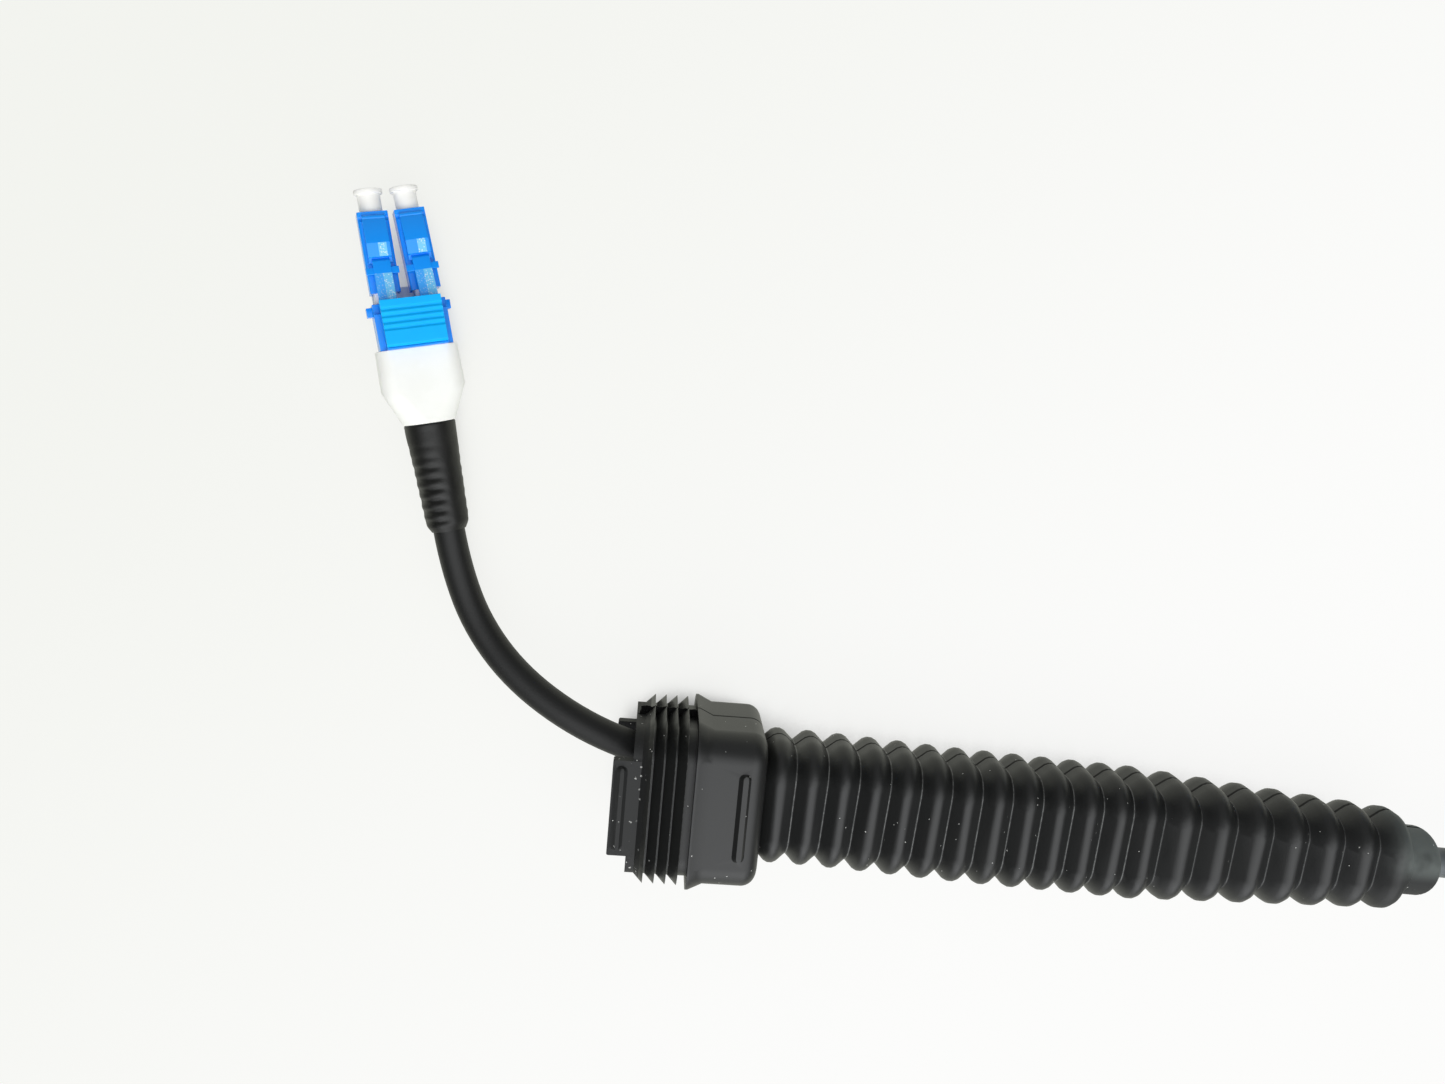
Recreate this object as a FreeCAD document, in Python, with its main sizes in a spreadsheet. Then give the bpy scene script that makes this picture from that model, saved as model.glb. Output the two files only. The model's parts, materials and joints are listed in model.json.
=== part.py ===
import FreeCAD, Part
import math
import os
import Sketcher

# Outdoor fibre patch cord: a duplex plug, a short cable lead and a moulded
# bellows boot on the cable, with the rest of the cable put away as a coil.
# Millimetres, +X along the boot towards its nozzle, +Y towards the plug, +Z up.
# The origin is the middle of the boot and near plug together, on the floor.

VALUES = {
    # bellows boot, measured along X from the front face of its flange
    "boot_x": -32.072,
    "boot_y": -37.54,
    "rim_width": 24.0,
    "rim_height": 19.6,
    "rim_corner": 4.4,
    "rim_length": 9.6,
    "rim_wall": 1.9,
    "tongue_width": 15.4,
    "tongue_reach": 3.0,
    "tongue_thick": 1.7,
    "tongue_corner": 0.3,
    "tongue_rib_length": 13.6,
    "tongue_rib_width": 1.9,
    "tongue_rib_back": 0.4,
    "rib_height": 0.55,
    "fin_reach": 1.5,
    "fin_length": 1.5,
    "fin_pitch": 1.78,
    "fin_gap": 1.4,
    "flange_width": 27.2,
    "flange_height": 23.4,
    "flange_corner": 5.0,
    "flange_land": 0.4,
    "ramp_length": 2.6,
    "box_width": 25.1,
    "box_height": 21.6,
    "box_corner": 4.2,
    "box_length": 11.0,
    "box_round": 2.4,
    "box_rib_length": 14.4,
    "box_rib_width": 1.9,
    "box_rib_x": 7.6,
    "fold_width": 20.6,
    "fold_height": 15.8,
    "fold_corner": 5.8,
    "fold_pitch": 5.0,
    "fold_depth": 1.7,
    "fold_crest": 1.0,
    "fold_shoulder": 0.3,
    "tail_lead": 0.5,
    "tail_fold_width": 16.9,
    "tail_fold_height": 13.4,
    "tail_fold_corner": 6.3,
    "tail_fold_pitch": 6.3,
    "tail_fold_depth": 2.2,
    "tail_fold_crest": 1.3,
    "tail_fold_shoulder": 0.45,
    "boot_wall": 1.6,
    "nozzle_diameter": 11.6,
    "nozzle_length": 5.05,
    "nozzle_lap": 0.65,
    "nozzle_round": 2.0,
    "nozzle_clearance": 0.06,
    # duplex plug, measured along its own axis from the clip's rear face
    "plug_x": -82.722,
    "plug_y": 26.81,
    "plug_pitch": 6.25,
    "plug_width": 4.5,
    "plug_edge": 0.35,
    "plug_front": 20.5,
    "plug_rear": 8.6,
    "cavity_diameter": 3.0,
    "cavity_depth": 6.6,
    "web_thick": 1.0,
    "chamber_diameter": 2.7,
    "spigot_diameter": 3.3,
    "spigot_length": 2.0,
    "shank_width": 3.4,
    "shank_inset": 1.0,
    "fit_clearance": 0.05,
    "ferrule_diameter": 1.25,
    "ferrule_proud": 1.0,
    "ferrule_bevel": 0.15,
    "ferrule_seat": 1.9,
    "holder_diameter": 2.3,
    "holder_length": 2.5,
    "holder_tail_diameter": 1.5,
    "holder_tail_length": 2.0,
    "spring_wire": 0.34,
    "spring_diameter": 2.0,
    "spring_seat": 3.5,
    "fibre_diameter": 0.9,
    "fibre_spacing": 1.2,
    "cap_spigot_length": 4.3,
    "cap_neck_diameter": 3.4,
    "cap_neck_length": 2.7,
    "cap_rim_diameter": 4.2,
    "cap_rim_length": 0.7,
    "cap_end_wall": 1.7,
    "cap_clearance": 0.025,
    "latch_hinge_back": 0.95,
    "latch_hinge_rise": 0.15,
    "latch_root_radius": 0.42,
    "latch_heel": 0.3,
    "latch_front_width": 3.4,
    "latch_ramp_back": 4.8,
    "latch_ramp_rise": 1.75,
    "latch_shoulder_back": 7.2,
    "latch_shoulder_rise": 1.25,
    "latch_under_rise": 0.75,
    "latch_arm_width": 2.6,
    "latch_arm_thick": 0.75,
    "latch_tail_back": 14.3,
    "latch_tail_rise": 2.5,
    "latch_lug_width": 4.8,
    "latch_lug_back": 8.3,
    "latch_lug_length": 1.0,
    "latch_lug_thick": 0.7,
    "clip_length": 7.0,
    "clip_play": 0.16,
    "clip_width": 10.9,
    "clip_top": 3.3,
    "clip_bottom": 3.4,
    "clip_step_length": 1.5,
    "clip_step_depth": 0.75,
    "clip_lip": 0.1,
    "clip_relief": 0.3,
    "clip_lug_width": 12.6,
    "clip_lug_front": 6.7,
    "clip_lug_length": 1.4,
    "clip_lug_top": 0.8,
    "clip_lug_height": 2.4,
    "trigger_width": 9.0,
    "trigger_front": 7.3,
    "trigger_hinge_x": 0.9,
    "trigger_root_radius": 0.55,
    "trigger_gap": 0.25,
    "trigger_thick": 1.1,
    "trigger_groove_pitch": 0.95,
    "trigger_groove_depth": 0.2,
    "trigger_groove_front": 6.3,
    "shell_front_width": 12.2,
    "shell_width": 12.6,
    "shell_height": 8.4,
    "shell_corner": 2.4,
    "shell_shoulder": 6.2,
    "shell_length": 11.6,
    "shell_rear_width": 8.0,
    "shell_rear_flat": 0.3,
    "shell_wall": 1.0,
    "shell_spigot_diameter": 5.9,
    "shell_spigot_length": 2.8,
    "shell_tongue_length": 9.6,
    "shell_tongue_width": 9.8,
    "jacket_inset": 1.4,
    "crimp_diameter": 6.8,
    "relief_length": 13.0,
    "relief_end_diameter": 5.9,
    "relief_slot": 0.7,
    "relief_slot_pitch": 1.65,
    "relief_slot_first": 3.25,
    "relief_spine": 2.4,
    "sleeve_diameter": 7.9,
    "sleeve_end_diameter": 6.7,
    "sleeve_tip_diameter": 5.7,
    "sleeve_tip_length": 1.4,
    "dimple_radius": 0.8,
    "dimple_depth": 0.3,
    # cable, its coil and the coil's ties
    "cable_diameter": 5.0,
    "coil_x": 188.0,
    "coil_inner_turn": 20.0,
    "coil_stub": 22.0,
    "tie_width": 4.0,
    "tie_thick": 0.8,
    "tie_clearance": 0.1,
    "tie_head_length": 6.0,
    "tie_head_width": 6.0,
    "tie_head_height": 2.4,
    "far_plug_x": 120.2,
    "lead_straight": 6.0,
    "lead_last_bend": 17.4,
    "core_start": 28.5,
    "core_inset": 1.0,
    "tail_first_bend": 152.0,
    "tail_last_bend": 44.0,
    "end_first_bend": 5.5,
    "end_last_bend": 5.5,
}
PLUG_HEADING = 105.0  # degrees from +X to the near plug's axis
PLUG_ROLL = 17.0  # degrees that the near plug leans to its right
PLUG_TOE = {1: -0.8, 2: 2.0}  # degrees by which the near plug's two bodies turn to each other in the clip
FAR_PLUG_HEADING = 180.0
FIN_COUNT = 4
FOLD_COUNT = 13
TAIL_FOLD_COUNT = 7
GROOVE_COUNT = 4
SLOT_COUNT = 6
SLOT_TURN = 41.0  # degrees from the plug's left to the relief's slots
DIMPLE_SWEEP = 64.0  # degrees that a dimple of the sleeve runs round it
SPRING_TURNS = 4
COIL_ROWS = 4

# The bends of the lead between plug and boot, as points chosen by hand along its centre line.
LEAD_BENDS = [
    (-69.22, -16.095, 6.1), (-61.72, -23.695, 8.0), (-51.22, -29.495, 9.8), (-39.82, -32.695, 11.0),
    (-27.92, -34.395, 11.6),
]

doc = FreeCAD.newDocument("outdoor_fibre_patch_cord")
sheet = doc.addObject("Spreadsheet::Sheet", "Sizes")
for row, (alias, number) in enumerate(VALUES.items(), 1):
    sheet.set("A%d" % row, alias)
    sheet.set("B%d" % row, str(number))
    sheet.setAlias("B%d" % row, alias)
doc.recompute()


class Size:
    # A value of the sheet, or a sum of such values: its number now and the expression that keeps it.
    def __init__(self, number, text):
        self.number = number
        self.text = text

    def __add__(self, other):
        other = as_size(other)
        return Size(self.number + other.number, "(%s + %s)" % (self.text, other.text))

    def __sub__(self, other):
        other = as_size(other)
        return Size(self.number - other.number, "(%s - %s)" % (self.text, other.text))

    def __rsub__(self, other):
        return as_size(other) - self

    def __mul__(self, other):
        other = as_size(other)
        return Size(self.number * other.number, "(%s * %s)" % (self.text, other.text))

    def __truediv__(self, other):
        other = as_size(other)
        return Size(self.number / other.number, "(%s / %s)" % (self.text, other.text))

    def __neg__(self):
        return Size(-self.number, "(-1 * %s)" % self.text)

    __radd__ = __add__
    __rmul__ = __mul__


def as_size(amount):
    return amount if isinstance(amount, Size) else Size(float(amount), repr(float(amount)))


class SizeTable:
    def __getattr__(self, alias):
        return Size(float(sheet.get(alias)), "Sizes." + alias)


size = SizeTable()
pieces = []
ZERO = as_size(0)
PAST = as_size(1)  # how far a cutting profile stands past the face that it opens


def bind(item, name, amount):
    item.setExpression(name, as_size(amount).text)


def new_body(label, placement):
    body = doc.addObject("PartDesign::Body", label)
    body.Label = label
    body.Placement = placement
    pieces.append(body)
    return body


def origin_item(body, role):
    return next(item for item in body.Origin.OriginFeatures if item.Role == role)


def new_sketch(body, role, offset=ZERO):
    # On YZ the offset runs along +X, on XZ along -Y, on XY along +Z.
    sketch = body.newObject("Sketcher::SketchObject", "sketch")
    sketch.AttachmentSupport = [(origin_item(body, role), "")]
    sketch.MapMode = "FlatFace"
    bind(sketch, "AttachmentOffset.Base.z", offset)
    return sketch


def dimension(sketch, kind, places, amount):
    index = sketch.addConstraint(Sketcher.Constraint(kind, *places, amount.number))
    sketch.setExpression("Constraints[%d]" % index, amount.text)


def outline(sketch, corners):
    # Closed outline of straight sides through corners given as pairs of sizes.
    corners = [(as_size(across), as_size(up)) for across, up in corners]
    spots = [FreeCAD.Vector(across.number, up.number, 0) for across, up in corners]
    first = sketch.GeometryCount
    count = len(spots)
    sketch.addGeometry([Part.LineSegment(spots[i], spots[(i + 1) % count]) for i in range(count)], False)
    for i in range(count):
        sketch.addConstraint(Sketcher.Constraint("Coincident", first + i, 2, first + (i + 1) % count, 1))
    for i, (across, up) in enumerate(corners):
        dimension(sketch, "DistanceX", (-1, 1, first + i, 1), across)
        dimension(sketch, "DistanceY", (-1, 1, first + i, 1), up)
    return sketch


def rectangle(sketch, low_across, low_up, high_across, high_up):
    corners = [(low_across, low_up), (high_across, low_up), (high_across, high_up), (low_across, high_up)]
    return outline(sketch, corners)


def circle(sketch, across, up, diameter):
    spot = FreeCAD.Vector(as_size(across).number, as_size(up).number, 0)
    index = sketch.GeometryCount
    sketch.addGeometry(Part.Circle(spot, FreeCAD.Vector(0, 0, 1), diameter.number / 2), False)
    dimension(sketch, "DistanceX", (-1, 1, index, 3), as_size(across))
    dimension(sketch, "DistanceY", (-1, 1, index, 3), as_size(up))
    dimension(sketch, "Diameter", (index,), diameter)
    return sketch


def rounded(sketch, width, height, corner):
    # Rectangle with round corners, centred on the sketch's origin.
    wide, tall, turn = width.number / 2, height.number / 2, corner.number
    first = sketch.GeometryCount
    sides = [
        ((turn - wide, -tall), (wide - turn, -tall)), ((wide, turn - tall), (wide, tall - turn)),
        ((wide - turn, tall), (turn - wide, tall)), ((-wide, tall - turn), (-wide, turn - tall)),
    ]
    for start, end in sides:
        sketch.addGeometry(Part.LineSegment(FreeCAD.Vector(*start, 0), FreeCAD.Vector(*end, 0)), False)
    centres = [(wide - turn, turn - tall), (wide - turn, tall - turn), (turn - wide, tall - turn),
               (turn - wide, turn - tall)]
    for i, centre in enumerate(centres):
        ring = Part.Circle(FreeCAD.Vector(*centre, 0), FreeCAD.Vector(0, 0, 1), turn)
        start = (i - 1) * math.pi / 2
        sketch.addGeometry(Part.ArcOfCircle(ring, start, start + math.pi / 2), False)
    for i in range(4):
        arc = first + 4 + i
        sketch.addConstraint(Sketcher.Constraint("Tangent", first + i, 2, arc, 1))
        sketch.addConstraint(Sketcher.Constraint("Tangent", arc, 2, first + (i + 1) % 4, 1))
        sketch.addConstraint(Sketcher.Constraint("Vertical" if i % 2 else "Horizontal", first + i))
    for i in range(1, 4):
        sketch.addConstraint(Sketcher.Constraint("Equal", first + 4, first + 4 + i))
    sketch.addConstraint(Sketcher.Constraint("Symmetric", first + 4, 3, first + 6, 3, -1, 1))
    dimension(sketch, "DistanceX", (first + 3, 1, first + 1, 1), width)
    dimension(sketch, "DistanceY", (first, 1, first + 2, 1), height)
    dimension(sketch, "Radius", (first + 4,), corner)
    return sketch


def extrude(body, kind, sketch, length, both_ways=False, backwards=False, taper=0.0):
    feature = body.newObject("PartDesign::" + kind, kind.lower())
    feature.Profile = sketch
    feature.SideType = "Symmetric" if both_ways else "One side"
    feature.Reversed = backwards
    bind(feature, "Length", length)
    feature.TaperAngle = taper
    return feature


def turn(body, kind, corners):
    # Solid or cut of revolution about the body's X axis from corners given as (along, radius).
    feature = body.newObject("PartDesign::" + kind, kind.lower())
    feature.Profile = outline(new_sketch(body, "XZ_Plane"), corners)
    feature.ReferenceAxis = (origin_item(body, "X_Axis"), [""])
    feature.Angle = 360.0
    return feature


def loft(body, kind, sections):
    # Straight-sided loft through rounded sections given as (along, width, height, corner).
    sketches = []
    for along, width, height, corner in sections:
        sketches.append(rounded(new_sketch(body, "YZ_Plane", along), width, height, corner))
    feature = body.newObject("PartDesign::" + kind, kind.lower())
    feature.Profile = sketches[0]
    feature.Sections = sketches[1:]
    feature.Ruled = True
    feature.Refine = False
    return feature


def repeat(body, feature, pitch, count):
    pattern = body.newObject("PartDesign::LinearPattern", "pattern")
    pattern.Originals = [feature]
    pattern.Direction = (origin_item(body, "X_Axis"), [""])
    pattern.Mode = "Spacing"
    bind(pattern, "Offset", pitch)
    pattern.Occurrences = count
    pattern.Refine = False
    body.Tip = pattern
    return pattern


def mirror(body, features, role):
    copy = body.newObject("PartDesign::Mirrored", "mirrored")
    copy.Originals = features
    copy.MirrorPlane = (origin_item(body, role), [""])
    body.Tip = copy
    return copy


def round_edges(body, radius, wanted):
    # Fillet on the edges of the body's present shape for which wanted(edge) holds.
    doc.recompute()
    base = body.Tip
    names = ["Edge%d" % (i + 1) for i, edge in enumerate(base.Shape.Edges) if wanted(edge)]
    fillet = body.newObject("PartDesign::Fillet", "fillet")
    fillet.Base = (base, names)
    bind(fillet, "Radius", radius)
    return fillet


def in_plane_x(along):
    # Test for edges that lie across the X axis at the given place.
    return lambda edge: edge.BoundBox.XLength < 1e-4 and abs(edge.BoundBox.XMin - along.number) < 1e-4


# Bellows boot

def fold_section(along, crest, drop):
    # One section of a fold: its crest's size, drawn in by drop all round.
    width, height, corner = crest
    return (along, width - 2 * drop, height - 2 * drop, corner - drop)


def fold_top(middle, crest, flat, shoulder):
    # The rounded crest of one fold, from its rising flank to its falling one.
    return [fold_section(middle - flat, crest, shoulder), fold_section(middle - flat / 3, crest, ZERO),
            fold_section(middle + flat / 3, crest, ZERO), fold_section(middle + flat, crest, shoulder)]


def tail_crest(step):
    # Crest of the tapering folds: step 0 is the last even fold and TAIL_FOLD_COUNT the smallest one.
    share = step / TAIL_FOLD_COUNT
    ends = [(size.fold_width, size.tail_fold_width), (size.fold_height, size.tail_fold_height),
            (size.fold_corner, size.tail_fold_corner)]
    return tuple(first + (last - first) * share for first, last in ends)


def shrunk(crest, wall):
    return tuple(amount - 2 * wall for amount in crest[:2]) + (crest[2] - wall,)


def tail_start():
    return size.box_length + size.fold_pitch * FOLD_COUNT


def tail_place(step):
    # Start of a tapering fold: the first one is a little longer than the rest.
    return tail_start() + size.tail_lead + size.tail_fold_pitch * step


def tail_end():
    return tail_place(TAIL_FOLD_COUNT)


def tail_valley(step):
    # Crest size from which the valley behind a tapering fold is drawn in.
    return tail_crest(min(step + 1.5, TAIL_FOLD_COUNT))


def plate(body, low_x, high_x, width, bottom, thick, corner, taper=0.0):
    # Flat pad with round corners across the boot's axis, between two places along X.
    sketch = new_sketch(body, "XY_Plane", bottom)
    bind(sketch, "AttachmentOffset.Base.x", (low_x + high_x) / 2)
    return extrude(body, "Pad", rounded(sketch, high_x - low_x, width, corner), thick, taper=taper)


def boot_front(body):
    rim = (size.rim_width, size.rim_height, size.rim_corner)
    start = new_sketch(body, "YZ_Plane", -size.rim_length)
    extrude(body, "Pad", rounded(start, *rim), size.rim_length)

    first_fin = -size.fin_gap - size.fin_pitch * (FIN_COUNT - 1)
    tip = (size.rim_width + 2 * size.fin_reach, size.rim_height + 2 * size.fin_reach,
           size.rim_corner + size.fin_reach)
    fin = loft(body, "AdditiveLoft", [(first_fin - size.fin_length, *rim), (first_fin, *tip)])
    repeat(body, fin, size.fin_pitch, FIN_COUNT)

    flange = (size.flange_width, size.flange_height, size.flange_corner)
    box = (size.box_width, size.box_height, size.box_corner)
    loft(body, "AdditiveLoft", [(ZERO, *flange), (size.flange_land, *flange), (size.ramp_length, *box)])
    back = new_sketch(body, "YZ_Plane", size.ramp_length)
    extrude(body, "Pad", rounded(back, *box), size.box_length - size.ramp_length)
    round_edges(body, size.box_round, in_plane_x(size.box_length))

    tongue_front = -size.rim_length - size.tongue_reach
    tongue_bottom = size.rim_height / 2 - size.tongue_thick
    tongue_rib = tongue_front + size.tongue_rib_back
    rib_taper = -20.0
    rib_end = 0.45  # corner radius of a rib's end as a share of its width
    box_rib = size.box_rib_x - size.box_rib_width / 2
    raised = [
        plate(body, tongue_front, -size.rim_length + size.rim_wall, size.tongue_width, tongue_bottom,
              size.tongue_thick, size.tongue_corner),
        plate(body, tongue_rib, tongue_rib + size.tongue_rib_width, size.tongue_rib_length,
              size.rim_height / 2, size.rib_height, size.tongue_rib_width * rib_end, rib_taper),
        plate(body, box_rib, box_rib + size.box_rib_width, size.box_rib_length, size.box_height / 2,
              size.rib_height, size.box_rib_width * rib_end, rib_taper),
    ]
    mirror(body, raised, "XY_Plane")


def boot_folds(body):
    crest = tail_crest(0)
    pitch = size.fold_pitch
    first = [fold_section(size.box_length, crest, size.fold_depth)]
    first += fold_top(size.box_length + pitch / 2, crest, size.fold_crest, size.fold_shoulder)
    first.append(fold_section(size.box_length + pitch, crest, size.fold_depth))
    repeat(body, loft(body, "AdditiveLoft", first), pitch, FOLD_COUNT)
    pitch = size.tail_fold_pitch
    tail = [fold_section(tail_start(), crest, size.fold_depth),
            fold_section(tail_place(0), crest, size.tail_fold_depth)]
    for step in range(TAIL_FOLD_COUNT):
        place = tail_place(step)
        tail += fold_top(place + pitch / 2, tail_crest(step + 1), size.tail_fold_crest,
                         size.tail_fold_shoulder)
        tail.append(fold_section(place + pitch, tail_valley(step), size.tail_fold_depth))
    nozzle_start = tail_end() - size.nozzle_lap
    round_share = 0.495  # corner radius of the last section, which meets the round nozzle
    tail[-1] = (nozzle_start, size.nozzle_diameter, size.nozzle_diameter, size.nozzle_diameter * round_share)
    loft(body, "AdditiveLoft", tail)
    nozzle = circle(new_sketch(body, "YZ_Plane", nozzle_start), 0, 0, size.nozzle_diameter)
    extrude(body, "Pad", nozzle, size.nozzle_lap + size.nozzle_length)
    round_edges(body, size.nozzle_round, in_plane_x(boot_end()))


def boot_hollow(body):
    mouth = (size.rim_width - 2 * size.rim_wall, size.rim_height - 2 * size.rim_wall,
             size.rim_corner - size.rim_wall)
    inner_end = size.box_length - size.boot_wall
    mouth_sketch = rounded(new_sketch(body, "YZ_Plane", -size.rim_length), *mouth)
    extrude(body, "Pocket", mouth_sketch, size.rim_length + inner_end, backwards=True)

    crest = shrunk(tail_crest(0), size.boot_wall)
    inside = [fold_section(inner_end, crest, size.fold_depth),
              fold_section(size.box_length, crest, size.fold_depth)]
    for step in range(FOLD_COUNT):
        place = size.box_length + size.fold_pitch * step
        inside.append(fold_section(place + size.fold_pitch / 2, crest, ZERO))
        inside.append(fold_section(place + size.fold_pitch, crest, size.fold_depth))
    for step in range(TAIL_FOLD_COUNT):
        place = tail_place(step)
        wide = shrunk(tail_crest(step + 1), size.boot_wall)
        narrow = shrunk(tail_valley(step), size.boot_wall)
        inside.append(fold_section(place + size.tail_fold_pitch / 2, wide, ZERO))
        inside.append(fold_section(place + size.tail_fold_pitch, narrow, size.tail_fold_depth))
    loft(body, "SubtractiveLoft", inside)
    bore_width = size.cable_diameter + 2 * size.nozzle_clearance
    bore = circle(new_sketch(body, "YZ_Plane", tail_end()), 0, 0, bore_width)
    extrude(body, "Pocket", bore, size.nozzle_length, backwards=True)


def bellows_boot():
    height = size.flange_height.number / 2
    spot = FreeCAD.Vector(size.boot_x.number, size.boot_y.number, height)
    body = new_body("bellows_boot", FreeCAD.Placement(spot, FreeCAD.Rotation()))
    boot_front(body)
    boot_folds(body)
    boot_hollow(body)


# Duplex plug: X forward to the ferrules, Y to the left, Z up from the ferrules' axes

def plug_top():
    return size.plug_width / 2


def latch_hinge():
    return size.plug_front - size.latch_hinge_back, plug_top() + size.latch_hinge_rise


def cavity_end():
    return size.plug_front - size.cavity_depth


def web_back():
    return cavity_end() - size.web_thick


def plug_housing(label, place, plain):
    body = new_body(label, place)
    square = (size.plug_width, size.plug_width, size.plug_edge)
    block = rounded(new_sketch(body, "YZ_Plane", size.plug_rear), *square)
    extrude(body, "Pad", block, size.plug_front - size.plug_rear)
    cavity = size.cavity_diameter / 2
    front = size.plug_front + PAST
    seat = size.ferrule_diameter / 2
    if plain:
        shank = (size.shank_width, size.shank_width, size.plug_edge)
        extrude(body, "Pad", rounded(new_sketch(body, "YZ_Plane"), *shank), size.plug_rear)
        seat_end = web_back() - size.ferrule_seat
        turn(body, "Groove", [
            (seat_end, ZERO), (seat_end, seat), (cavity_end(), seat), (cavity_end(), cavity), (front, cavity),
            (front, ZERO)])
    else:
        rear = size.plug_rear - PAST
        spigot = size.spigot_diameter / 2 + size.fit_clearance
        step = size.plug_rear + size.spigot_length + size.fit_clearance
        chamber = size.chamber_diameter / 2
        hole = seat + size.fit_clearance
        turn(body, "Groove", [
            (rear, ZERO), (rear, spigot), (step, spigot), (step, chamber), (web_back(), chamber),
            (web_back(), hole), (cavity_end(), hole), (cavity_end(), cavity), (front, cavity), (front, ZERO)])
    groove = circle(new_sketch(body, "XZ_Plane"), *latch_hinge(),
                    2 * (size.latch_root_radius + size.fit_clearance))
    extrude(body, "Pocket", groove, size.plug_width, both_ways=True)


def latch_arm(label, place):
    # Spring arm that turns about its root at the plug's nose.
    body = new_body(label, place)
    root_x, root_z = latch_hinge()
    top = plug_top()
    ramp = size.plug_front - size.latch_ramp_back
    shoulder = size.plug_front - size.latch_shoulder_back
    tail = size.plug_front - size.latch_tail_back
    under = top + size.latch_under_rise
    tail_top = top + size.latch_tail_rise
    front = [(root_x, root_z + size.latch_root_radius), (ramp, top + size.latch_ramp_rise),
             (shoulder, top + size.latch_shoulder_rise), (shoulder, under),
             (root_x - size.latch_heel, root_z), (root_x, root_z)]
    extrude(body, "Pad", outline(new_sketch(body, "XZ_Plane"), front), size.latch_front_width, both_ways=True)
    root = circle(new_sketch(body, "XZ_Plane"), root_x, root_z, 2 * size.latch_root_radius)
    extrude(body, "Pad", root, size.latch_front_width, both_ways=True)
    arm = [(shoulder + size.latch_arm_thick, under), (shoulder, under + size.latch_arm_thick),
           (tail, tail_top), (tail, tail_top - size.latch_arm_thick), (shoulder, under)]
    extrude(body, "Pad", outline(new_sketch(body, "XZ_Plane"), arm), size.latch_arm_width, both_ways=True)
    lug_front = size.plug_front - size.latch_lug_back
    lug_low = under + size.latch_arm_thick / 2
    lug = rectangle(new_sketch(body, "XZ_Plane"), lug_front - size.latch_lug_length, lug_low, lug_front,
                    lug_low + size.latch_lug_thick)
    extrude(body, "Pad", lug, size.latch_lug_width, both_ways=True)


def ferrule(label, place):
    radius = size.ferrule_diameter / 2
    bevel = size.ferrule_bevel
    back = web_back() - size.ferrule_seat
    front = size.plug_front + size.ferrule_proud
    turn(new_body(label, place), "Revolution", [
        (back, ZERO), (back, radius), (front - bevel, radius), (front, radius - bevel), (front, ZERO)])


def ferrule_holder(label, place):
    hole = size.fibre_diameter / 2 + size.fit_clearance
    seat = size.ferrule_diameter / 2
    front = web_back()
    step = front - size.holder_length
    back = step - size.holder_tail_length
    seat_end = front - size.ferrule_seat
    turn(new_body(label, place), "Revolution", [
        (back, hole), (back, size.holder_tail_diameter / 2), (step, size.holder_tail_diameter / 2),
        (step, size.holder_diameter / 2), (front, size.holder_diameter / 2), (front, seat), (seat_end, seat),
        (seat_end, hole)])


def ferrule_spring(label, place):
    body = new_body(label, place)
    wire = size.spring_wire
    back = size.spring_seat
    front = web_back() - size.holder_length
    profile = circle(new_sketch(body, "XZ_Plane"), back + wire / 2, size.spring_diameter / 2, wire)
    helix = body.newObject("PartDesign::AdditiveHelix", "helix")
    helix.Profile = profile
    helix.ReferenceAxis = (origin_item(body, "X_Axis"), [""])
    helix.Mode = "height-turns-angle"
    bind(helix, "Height", front - back - wire)
    helix.Turns = SPRING_TURNS


def rear_body(label, place):
    # Shank that carries the spring and holds the plug in the clip.
    body = new_body(label, place)
    back = -size.shank_inset
    shank = (size.shank_width, size.shank_width, size.plug_edge)
    extrude(body, "Pad", rounded(new_sketch(body, "YZ_Plane", back), *shank), size.plug_rear - back)
    spigot = circle(new_sketch(body, "YZ_Plane", size.plug_rear), 0, 0, size.spigot_diameter)
    extrude(body, "Pad", spigot, size.spigot_length)
    hole = size.fibre_diameter / 2 + size.fit_clearance
    room = size.spring_diameter / 2 + size.spring_wire / 2 + size.fit_clearance
    end = size.plug_rear + size.spigot_length + PAST
    turn(body, "Groove", [(back - PAST, ZERO), (back - PAST, hole), (size.spring_seat, hole),
                          (size.spring_seat, room), (end, room), (end, ZERO)])


def dust_cap(label, place):
    bore = size.ferrule_diameter / 2 + size.cap_clearance
    face = size.plug_front + size.fit_clearance
    back = size.plug_front - size.cap_spigot_length
    spigot = size.cavity_diameter / 2 - size.fit_clearance
    neck = size.cap_neck_diameter / 2
    rim = size.cap_rim_diameter / 2
    rim_start = face + size.cap_neck_length
    end = rim_start + size.cap_rim_length
    bore_end = end - size.cap_end_wall
    turn(new_body(label, place), "Revolution", [
        (back, bore), (back, spigot), (face, spigot), (face, neck), (rim_start, neck), (rim_start, rim),
        (end, rim), (end, ZERO), (bore_end, ZERO), (bore_end, bore)])


def trigger_hinge():
    under = plug_top() + size.latch_tail_rise + size.trigger_gap
    return size.trigger_hinge_x, under + size.trigger_root_radius


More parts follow.
